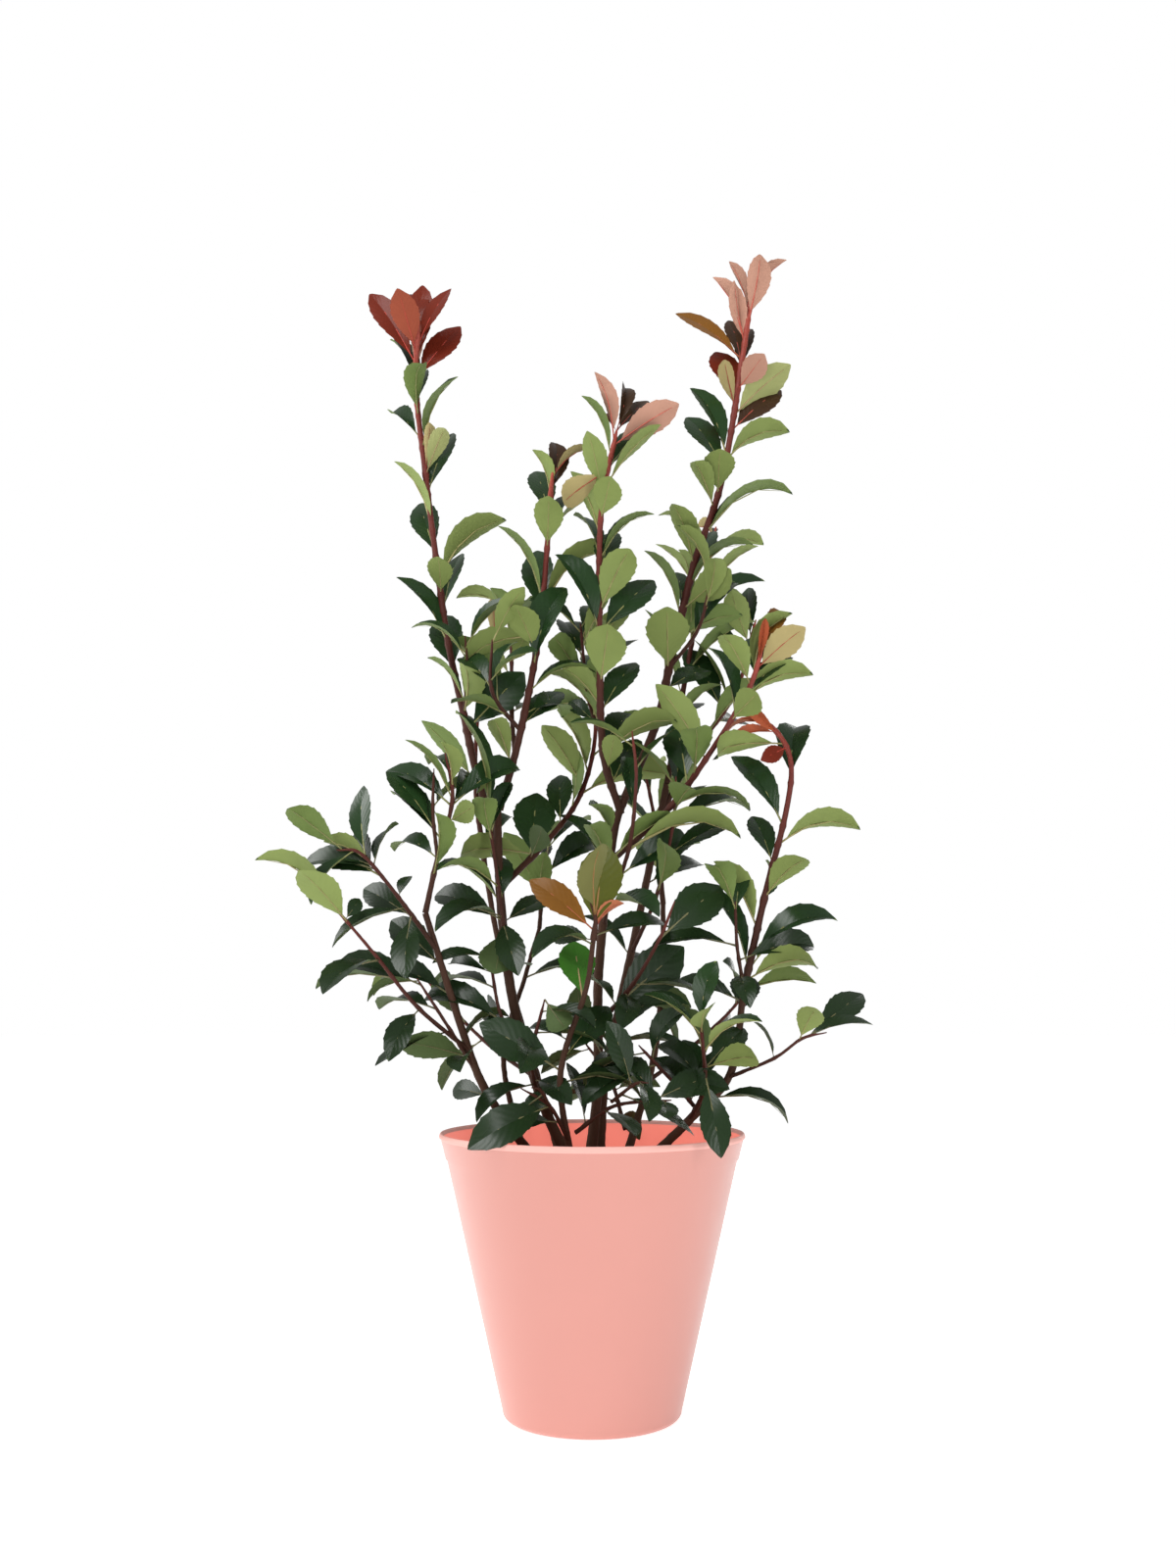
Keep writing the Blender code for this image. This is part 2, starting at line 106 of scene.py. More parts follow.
camera = bpy.data.objects.new("camera", bpy.data.cameras.new("camera"))
camera.data.lens = CAMERA_LENS
camera.data.sensor_width = FILM_WIDTH
camera.location = (CAMERA_SIDE, -CAMERA_BACK, CAMERA_HEIGHT)
camera.rotation_euler = (math.pi / 2 + CAMERA_PITCH, 0.0, 0.0)
scene.collection.objects.link(camera)
scene.camera = camera

for lamp_name, (turn, away, height, broad, long, power) in LAMPS.items():
    lamp = bpy.data.objects.new(lamp_name, bpy.data.lights.new(lamp_name, "AREA"))
    lamp.data.shape = "RECTANGLE"
    lamp.data.size = broad
    lamp.data.size_y = long
    lamp.data.energy = power
    turn = math.radians(turn)
    lamp.location = (away * math.sin(turn), -away * math.cos(turn), height)
    lamp.rotation_euler = (LAMP_AIM - lamp.location).to_track_quat("-Z", "Y").to_euler()
    lamp.visible_camera = False
    scene.collection.objects.link(lamp)

room = bpy.data.worlds.new("white_room")
room.use_nodes = True
room_nodes = room.node_tree.nodes
room_light = room_nodes["Background"]
room_light.inputs["Strength"].default_value = ROOM_LIGHT
room_seen = room_nodes.new("ShaderNodeBackground")
for background in (room_light, room_seen):
    background.inputs["Color"].default_value = (*WHITE, 1.0)
room_mix = room_nodes.new("ShaderNodeMixShader")
room_ray = room_nodes.new("ShaderNodeLightPath")
for start, end in ((room_ray.outputs["Is Camera Ray"], room_mix.inputs[0]),
                   (room_light.outputs[0], room_mix.inputs[1]),
                   (room_seen.outputs[0], room_mix.inputs[2]),
                   (room_mix.outputs[0], room_nodes["World Output"].inputs[0])):
    room.node_tree.links.new(start, end)
scene.world = room


class Signal:
    """One shader socket. Sums on signals add their Math nodes."""

    def __init__(self, tree, socket):
        self.tree = tree
        self.socket = socket

    def math(self, operation, first, second=None):
        node = self.tree.nodes.new("ShaderNodeMath")
        node.operation = operation
        for place, value in zip(node.inputs, (first, second)):
            if isinstance(value, Signal):
                self.tree.links.new(value.socket, place)
            elif value is not None:
                place.default_value = value
        return Signal(self.tree, node.outputs[0])

    def __add__(self, other):
        return self.math("ADD", self, other)

    def __sub__(self, other):
        return self.math("SUBTRACT", self, other)

    def __rsub__(self, other):
        return self.math("SUBTRACT", other, self)

    def __mul__(self, other):
        return self.math("MULTIPLY", self, other)

    __radd__ = __add__
    __rmul__ = __mul__


class Finish:
    """A material built round one Principled shader. glow is a colour and a strength."""

    def __init__(self, name, colour, roughness, glow=None, **fixed):
        self.material = bpy.data.materials.new(name)
        self.material.use_nodes = True
        self.material.diffuse_color = (*colour, 1.0)
        self.tree = self.material.node_tree
        self.shader = self.tree.nodes["Principled BSDF"]
        self.shader.inputs["Base Color"].default_value = (*colour, 1.0)
        self.shader.inputs["Roughness"].default_value = roughness
        if glow:
            self.shader.inputs["Emission Color"].default_value = (*glow[0], 1.0)
            self.shader.inputs["Emission Strength"].default_value = glow[1]
        for name_of_input, value in fixed.items():
            self.shader.inputs[name_of_input.replace("_", " ")].default_value = value

    def node(self, kind, settings=None, inputs=None, output=0):
        """Adds a node: its settings first, then its sockets' values or links."""
        node = self.tree.nodes.new("ShaderNode" + kind)
        for key, value in (settings or {}).items():
            if key == "ramp":
                stops = node.color_ramp.elements
                while len(stops) < len(value):
                    stops.new(0.5)
                for stop, (place, colour) in zip(stops, value):
                    stop.position = place
                    stop.color = (*colour, 1.0)
            else:
                setattr(node, key, value)
        for key, value in (inputs or {}).items():
            if isinstance(value, Signal):
                self.tree.links.new(value.socket, node.inputs[key])
            else:
                node.inputs[key].default_value = value
        return Signal(self.tree, node.outputs[output])

    def feed(self, socket, signal):
        self.tree.links.new(signal.socket, self.shader.inputs[socket])

    def noise(self, scale, detail=2.0):
        """Noise over the object's own coordinates, scale in lumps per metre."""
        where = self.node("TexCoord", output="Object")
        return self.node("TexNoise", inputs={"Vector": where, "Scale": scale, "Detail": detail})

    def bump(self, height, strength, distance):
        relief = {"Height": height, "Strength": strength, "Distance": distance}
        self.feed("Normal", self.node("Bump", inputs=relief))

    def shade(self, share, *stops):
        """Feeds the base colour from a ramp of (place, colour) stops."""
        self.feed("Base Color", self.node("ValToRGB", {"ramp": stops}, {"Fac": share}))

    def cloud(self, share, first, second):
        """Feeds the base colour from a mix of two colours. share runs from 0 to 1."""
        colours = {0: share, 6: (*first, 1.0), 7: (*second, 1.0)}
        self.feed("Base Color", self.node("Mix", {"data_type": "RGBA"}, colours, output=2))


def add_piece(name, mesh, slot, *materials):
    """Links a finished mesh at the origin, riding on the root body."""
    piece = bpy.data.objects.new(name, mesh)
    scene.collection.objects.link(piece)
    for finish in materials:
        mesh.materials.append(finish.material)
    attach(piece, "root")
    return piece


def mesh_of(name, shape):
    """Ends a bmesh as a plain mesh."""
    mesh = bpy.data.meshes.new(name)
    shape.to_mesh(mesh)
    shape.free()
    return mesh


floor_finish = Finish("pale_floor", FLOOR_GREY, 0.75, glow=(WHITE, FLOOR_GLOW))
floor_finish.feed("Roughness", floor_finish.noise(3.0) * FLOOR_PATCHES + FLOOR_ROUGHNESS)
floor_shape = bmesh.new()
bmesh.ops.create_circle(floor_shape, cap_ends=True, segments=64, radius=FLOOR_RADIUS)
floor_mesh = mesh_of("floor", floor_shape)
floor_mesh.materials.append(floor_finish.material)
floor = bpy.data.objects.new("floor", floor_mesh)
scene.collection.objects.link(floor)

# The planter. One injection moulded cone of salmon pink plastic with a satin
# skin: a thin wall under a rolled lip, a shallow step below the lip, and a
# rounded edge round the flat base that it stands on.
planter_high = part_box("planter")[1]
PLANTER_HEIGHT = planter_high[2]
RIM_RADIUS = planter_high[0]
BASE_RADIUS = 0.086
WALL = 0.003
PLANTER_FLOOR = 0.004
BASE_ROUNDING = 0.007
BAND_DROP = 0.024
BAND_STEP = 0.0016
LIP_DROP = 0.004
LIP_BULGE = 0.0009
TURN_STEPS = 180
ARC_STEPS = 10
SEAM = 0.00002
CREASE = math.radians(50)
PLANTER_PINK = (0.545, 0.236, 0.197)
PLANTER_SHADE = (0.520, 0.218, 0.180)
# The inside's redder pink and its glow are painted light, and the lip's paler pink and its glow a painted
# highlight
INSIDE_PINK_PAINTED_LIGHT = (0.72, 0.185, 0.142)
LIP_PINK_PAINTED_HIGHLIGHT = (0.62, 0.33, 0.29)
INSIDE_PAINTED_LIGHT_STRENGTH = 0.85
LIP_PAINTED_HIGHLIGHT_STRENGTH = 0.25
SKIN_GRAIN = 900.0
SKIN_STRENGTH = 0.12
SKIN_DEPTH = 0.0002


def arc(middle, radii, start, end):
    """Points of a quarter or half round, as (radius, height) pairs."""
    points = []
    for k in range(ARC_STEPS + 1):
        turn = start + (end - start) * k / ARC_STEPS
        points.append((middle[0] + radii[0] * math.cos(turn), middle[1] + radii[1] * math.sin(turn)))
    return points


def turn_solid(name, profile):
    """A closed solid of revolution from a profile that runs down its outer side."""
    shape = bmesh.new()
    ring = [shape.verts.new((r, 0.0, z)) for r, z in profile]
    edges = [shape.edges.new(pair) for pair in zip(ring, ring[1:])]
    bmesh.ops.spin(shape, geom=ring + edges, cent=(0, 0, 0), axis=(0, 0, 1),
                   angle=math.tau, steps=TURN_STEPS, use_merge=True)
    bmesh.ops.remove_doubles(shape, verts=shape.verts, dist=SEAM)
    bmesh.ops.recalc_face_normals(shape, faces=shape.faces)
    mesh = mesh_of(name, shape)
    mesh.shade_smooth()
    mesh.set_sharp_from_angle(angle=CREASE)
    return mesh


def wall_radius(height):
    """The planter's outer radius at a height above its underside."""
    return BASE_RADIUS + (RIM_RADIUS - LIP_BULGE - BASE_RADIUS) * height / PLANTER_HEIGHT


lip_z = PLANTER_HEIGHT - LIP_DROP
lip_edge = lip_z - LIP_DROP / 2
band_z = PLANTER_HEIGHT - BAND_DROP
lip_half = (WALL + LIP_BULGE) / 2
rounding_r = wall_radius(BASE_ROUNDING) - BAND_STEP - BASE_ROUNDING
planter_profile = [(0.0, PLANTER_FLOOR), (wall_radius(PLANTER_FLOOR) - WALL, PLANTER_FLOOR)]
planter_profile += [(wall_radius(lip_z - LIP_DROP) - WALL, lip_z - LIP_DROP)]
planter_profile += arc((RIM_RADIUS - lip_half, lip_z), (lip_half, LIP_DROP), math.pi, 0.0)
planter_profile += [(wall_radius(lip_z), lip_edge), (wall_radius(band_z), band_z)]
planter_profile += [(wall_radius(band_z) - BAND_STEP, band_z - BAND_STEP)]
planter_profile += arc((rounding_r, BASE_ROUNDING), (BASE_ROUNDING, BASE_ROUNDING), 0.0, -math.pi / 2)
planter_profile += [(0.0, 0.0)]

# The skin is glossy outside. The inside carries painted light: a redder pink that glows in
# its own colour for light through the thin wall. The lip carries a painted highlight: a paler pink that
# glows a little
planter_finish = Finish("pink_plastic", PLANTER_PINK, 0.33, Specular_IOR_Level=0.55)
planter_finish.cloud(planter_finish.noise(9.0, 3.0) * 0.5, PLANTER_PINK, PLANTER_SHADE)
planter_finish.feed("Roughness", planter_finish.noise(40.0, 4.0) * 0.08 + 0.28)
inside_painted_light_finish = Finish("pink_plastic_inside_painted_light", INSIDE_PINK_PAINTED_LIGHT, 0.50, glow=(INSIDE_PINK_PAINTED_LIGHT, INSIDE_PAINTED_LIGHT_STRENGTH),
                       Specular_IOR_Level=0.15)
lip_painted_highlight_finish = Finish("pink_plastic_lip_painted_highlight", LIP_PINK_PAINTED_HIGHLIGHT, 0.50, glow=(LIP_PINK_PAINTED_HIGHLIGHT, LIP_PAINTED_HIGHLIGHT_STRENGTH),
                    Specular_IOR_Level=0.12)
planter_finishes = (planter_finish, inside_painted_light_finish, lip_painted_highlight_finish)
for finish in planter_finishes:
    finish.bump(finish.noise(SKIN_GRAIN), SKIN_STRENGTH, SKIN_DEPTH)
planter_mesh = turn_solid("planter_shell", planter_profile)
# Faces that look in below the lip take the painted-light finish, and faces above the lip's edge the painted
# highlight
for face in planter_mesh.polygons:
    reach = math.hypot(face.center.x, face.center.y)
    looks_in = face.normal.x * face.center.x + face.normal.y * face.center.y < 0.0
    if face.center.z < lip_edge and looks_in and reach < wall_radius(face.center.z):
        face.material_index = 1
    if face.center.z > lip_edge:
        face.material_index = 2
planter = add_piece("planter_shell", planter_mesh, "planter", *planter_finishes)
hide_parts("planter")

# The soil. Damp bark compost, settled a few centimetres under the rim: a lumpy
# bed that fills the planter, with loose chips of bark pressed into its top.
SOIL_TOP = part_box("soil")[1][2]
SOIL_RINGS = 44
SOIL_SPOKES = 120
SOIL_LUMP = 0.0032
LUMPS_PER_METRE = 60.0
SOIL_CLEARANCE = 0.0004
TOP_SKIN = 0.001
CHIP_SIZE = (0.0035, 0.0105)
CHIP_SHAPE = (1.0, 0.55, 0.26)
CHIP_PLAY = 0.1
CHIP_BEVEL = 0.05
CHIP_TILT = 0.5
CHIP_SLOPE = 0.5
CHIPS_PER_SQUARE_METRE = 16000.0
CHIP_WALL_ROOM = 0.002
SOIL_SEED = 4


class Tree:
    """A geometry node tree with named inputs, built node by node."""

    def __init__(self, name, **inputs):
        self.group = bpy.data.node_groups.new(name, "GeometryNodeTree")
        face = self.group.interface
        face.new_socket("Geometry", in_out="INPUT", socket_type="NodeSocketGeometry")
        face.new_socket("Geometry", in_out="OUTPUT", socket_type="NodeSocketGeometry")
        for label, kind in inputs.items():
            face.new_socket(label, in_out="INPUT", socket_type="NodeSocket" + kind)
        self.given = self.group.nodes.new("NodeGroupInput").outputs
        self.result = self.group.nodes.new("NodeGroupOutput")

    def add(self, kind, settings=None, inputs=None, output=0):
        """Adds a node, its settings before its sockets, and gives one of its outputs."""
        node = self.group.nodes.new(kind)
        for key, value in (settings or {}).items():
            setattr(node, key, value)
        for key, value in (inputs or {}).items():
            if isinstance(value, bpy.types.NodeSocket):
                self.group.links.new(value, node.inputs[key])
            else:
                node.inputs[key].default_value = value
        return node.outputs[output]

    def math(self, operation, first, second):
        return self.add("ShaderNodeMath", {"operation": operation}, {0: first, 1: second})

    def named(self, label, kind):
        """Reads a value that each point of the guide carries."""
        return self.add("GeometryNodeInputNamedAttribute", {"data_type": kind}, {"Name": label})

    def moved(self, geometry, offset, **inputs):
        return self.add("GeometryNodeSetPosition", inputs={"Geometry": geometry, "Offset": offset, **inputs})

    def real(self, instances):
        return self.add("GeometryNodeRealizeInstances", inputs={"Geometry": instances})

    def dress(self, geometry, material, **inputs):
        wanted = {"Geometry": geometry, "Material": material, **inputs}
        return self.add("GeometryNodeSetMaterial", inputs=wanted)

    def end(self, geometry):
        self.group.links.new(geometry, self.result.inputs["Geometry"])

    def run(self, guide, **values):
        """Runs the tree on an object, removes the object and gives the plain mesh."""
        modifier = guide.modifiers.new(self.group.name, "NODES")
        modifier.node_group = self.group
        for item in self.group.interface.items_tree:
            if item.in_out == "INPUT" and item.name in values:
                modifier[item.identifier] = values[item.name]
        depsgraph = bpy.context.evaluated_depsgraph_get()
        mesh = bpy.data.meshes.new_from_object(guide.evaluated_get(depsgraph))
        bpy.data.objects.remove(guide)
        if mesh.materials[0] is None:
            mesh.materials.pop(index=0)
        return mesh


def scratch_object(name, data):
    """A helper object that feeds a node tree and is removed after it."""
    helper = bpy.data.objects.new(name, data)
    scene.collection.objects.link(helper)
    return helper


def polar_bed(radius, top, bottom_radius, bottom):
    """A closed drum whose top is a fine polar grid."""
    shape = bmesh.new()
    centre = shape.verts.new((0.0, 0.0, top))

    def ring(r, height):
        turns = [math.tau * k / SOIL_SPOKES for k in range(SOIL_SPOKES)]
        return [shape.verts.new((r * math.cos(turn), r * math.sin(turn), height)) for turn in turns]

    rings = [ring(radius * i / SOIL_RINGS, top) for i in range(1, SOIL_RINGS + 1)]
    foot = ring(bottom_radius, bottom)
    for k in range(SOIL_SPOKES):
        n = (k + 1) % SOIL_SPOKES
        shape.faces.new((centre, rings[0][k], rings[0][n]))
        for low, high in zip(rings, rings[1:]):
            shape.faces.new((low[k], high[k], high[n], low[n]))
        shape.faces.new((rings[-1][k], foot[k], foot[n], rings[-1][n]))
    shape.faces.new(foot[::-1])
    return mesh_of("soil_bed", shape)


def bark_chip():
    """One flat splinter of bark, a metre long until it is scaled."""
    rule = random.Random(SOIL_SEED)
    shape = bmesh.new()
    bmesh.ops.create_cube(shape, size=1.0)
    bmesh.ops.scale(shape, vec=CHIP_SHAPE, verts=shape.verts)
    for vert in shape.verts:
        vert.co += Vector([rule.uniform(-CHIP_PLAY, CHIP_PLAY) for _ in range(3)])
    bmesh.ops.bevel(shape, geom=shape.edges[:], offset=CHIP_BEVEL, segments=1, affect="EDGES")
    return mesh_of("bark_chip", shape)


soil_finish = Finish("damp_compost", (0.030, 0.019, 0.012), 0.92)
soil_grain = soil_finish.noise(260.0, 6.0)
soil_finish.shade(soil_grain, (0.30, (0.010, 0.007, 0.005)), (0.55, (0.040, 0.024, 0.015)),
                  (0.75, (0.105, 0.064, 0.038)))
soil_finish.bump(soil_grain, 0.6, 0.002)
chip_finish = Finish("bark_chips", (0.09, 0.045, 0.026), 0.85)
chip_finish.shade(chip_finish.noise(75.0, 3.0), (0.35, (0.028, 0.014, 0.009)),
                  (0.52, (0.095, 0.048, 0.027)), (0.70, (0.20, 0.115, 0.065)))
chip_finish.bump(chip_finish.noise(700.0, 3.0), 0.4, 0.0006)

# The lumps lift only the bed's top, and the chips lie on what faces up off the wall
soil_tree = Tree("settled_soil", Lump="Float", Top="Float", Chip="Object", Seed="Int", Reach="Float",
                 Bed_Material="Material", Chip_Material="Material")
soil_in = soil_tree.given
place_now = soil_tree.add("GeometryNodeInputPosition")
height_now = soil_tree.add("ShaderNodeSeparateXYZ", inputs={0: place_now}, output="Z")
on_top = soil_tree.math("GREATER_THAN", height_now, soil_in["Top"])
coarse = soil_tree.add("ShaderNodeTexNoise", inputs={"Scale": LUMPS_PER_METRE, "Detail": 5.0})
rise = soil_tree.math("MULTIPLY", soil_tree.math("SUBTRACT", coarse, 1.0), soil_in["Lump"])
lift = soil_tree.add("ShaderNodeCombineXYZ", inputs={"Z": rise})
lumpy = soil_tree.moved(soil_in["Geometry"], lift, Selection=on_top)
bed_dressed = soil_tree.dress(lumpy, soil_in["Bed_Material"])
ups = soil_tree.add("GeometryNodeInputNormal")
up_part = soil_tree.add("ShaderNodeSeparateXYZ", inputs={0: ups}, output="Z")
facing_up = soil_tree.math("GREATER_THAN", up_part, CHIP_SLOPE)
flat_place = soil_tree.add("ShaderNodeVectorMath", {"operation": "MULTIPLY"},
                           {0: place_now, 1: (1.0, 1.0, 0.0)})
from_axis = soil_tree.add("ShaderNodeVectorMath", {"operation": "LENGTH"}, {0: flat_place}, "Value")
off_wall = soil_tree.math("LESS_THAN", from_axis, soil_in["Reach"])
free_top = soil_tree.math("MULTIPLY", facing_up, off_wall)
density = soil_tree.math("MULTIPLY", free_top, CHIPS_PER_SQUARE_METRE)
chip_spots = soil_tree.add("GeometryNodeDistributePointsOnFaces", inputs={
    "Mesh": lumpy, "Density": density, "Seed": soil_in["Seed"]}, output="Points")
chip_turn = soil_tree.add("FunctionNodeRandomValue", {"data_type": "FLOAT_VECTOR"}, {
    0: (-CHIP_TILT, -CHIP_TILT, 0.0), 1: (CHIP_TILT, CHIP_TILT, math.tau), "Seed": soil_in["Seed"]})
chip_grow = soil_tree.add("FunctionNodeRandomValue", {"data_type": "FLOAT"}, {
    2: CHIP_SIZE[0], 3: CHIP_SIZE[1], "Seed": soil_in["Seed"]}, output=1)
chip_shape = soil_tree.add("GeometryNodeObjectInfo", inputs={"Object": soil_in["Chip"]}, output="Geometry")
chips_laid = soil_tree.add("GeometryNodeInstanceOnPoints", inputs={
    "Points": chip_spots, "Instance": chip_shape, "Rotation": chip_turn, "Scale": chip_grow})
chips_dressed = soil_tree.dress(soil_tree.real(chips_laid), soil_in["Chip_Material"])
soil_joined = soil_tree.group.nodes.new("GeometryNodeJoinGeometry")
for geometry in (bed_dressed, chips_dressed):
    soil_tree.group.links.new(geometry, soil_joined.inputs[0])
soil_tree.end(soil_joined.outputs[0])

soil_radius = wall_radius(SOIL_TOP) - WALL - SOIL_CLEARANCE
soil_foot_radius = wall_radius(PLANTER_FLOOR) - WALL - SOIL_CLEARANCE
soil_guide = scratch_object("soil_guide", polar_bed(
    soil_radius, SOIL_TOP, soil_foot_radius, PLANTER_FLOOR + SOIL_CLEARANCE))
chip_guide = scratch_object("chip_guide", bark_chip())
soil_mesh = soil_tree.run(soil_guide, Lump=SOIL_LUMP, Top=SOIL_TOP - TOP_SKIN, Chip=chip_guide,
                          Seed=SOIL_SEED, Reach=soil_radius - CHIP_SIZE[1] - CHIP_WALL_ROOM,
                          Bed_Material=soil_finish.material, Chip_Material=chip_finish.material)
bpy.data.objects.remove(chip_guide)
soil = add_piece("soil_bed", soil_mesh, "soil")
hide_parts("soil")

# The limbs. Brown upright stems leave the soil with a swollen foot and carry the
# year's thinner shoots. All their sizes are in millimetres: the points that each
# passes through, then its radius at the foot and at the top
PER_METRE = 1000
LIMB_STEP = 0.004
STEMS = {
    "stem_left": ([(-18, -10, 235), (-44, -18, 285), (-76, -20, 385), (-91, -10, 490), (-97, 0, 600)],
        5.3, 4.2),
    "stem_middle": ([(-2, 18, 235), (6, 20, 316), (7, 25, 424), (22, 30, 560), (34, 30, 601)], 5.2, 4.2),
    "stem_right": ([(8, 48, 235), (14, 44, 325), (26, 46, 378), (50, 55, 484), (80, 70, 621)], 4.5, 3.7),
    "stem_low_right": ([(52, 2, 235), (103, -5, 285), (137, -10, 325), (150, -15, 405)], 4.8, 3.2),
    "stem_low_left": ([(-50, -14, 235), (-72, -20, 262), (-106, -30, 313), (-130, -40, 378),
        (-162, -50, 478)], 4.8, 3.0),
    "stem_front": ([(-18, -46, 235), (-30, -70, 324), (-6, -90, 404), (1, -95, 450)], 3.4, 2.3),
    "stem_thin_left": ([(-66, 28, 235), (-90, 42, 335), (-70, 70, 417), (-56, 98, 470)], 3.1, 2.1),
    "stem_back_left": ([(-32, 60, 235), (-66, 106, 340), (-100, 130, 450), (-118, 142, 540)], 4.1, 2.8),
    "stem_back_right": ([(36, 74, 235), (66, 122, 330), (78, 152, 420), (80, 170, 500)], 4.1, 2.8),
}

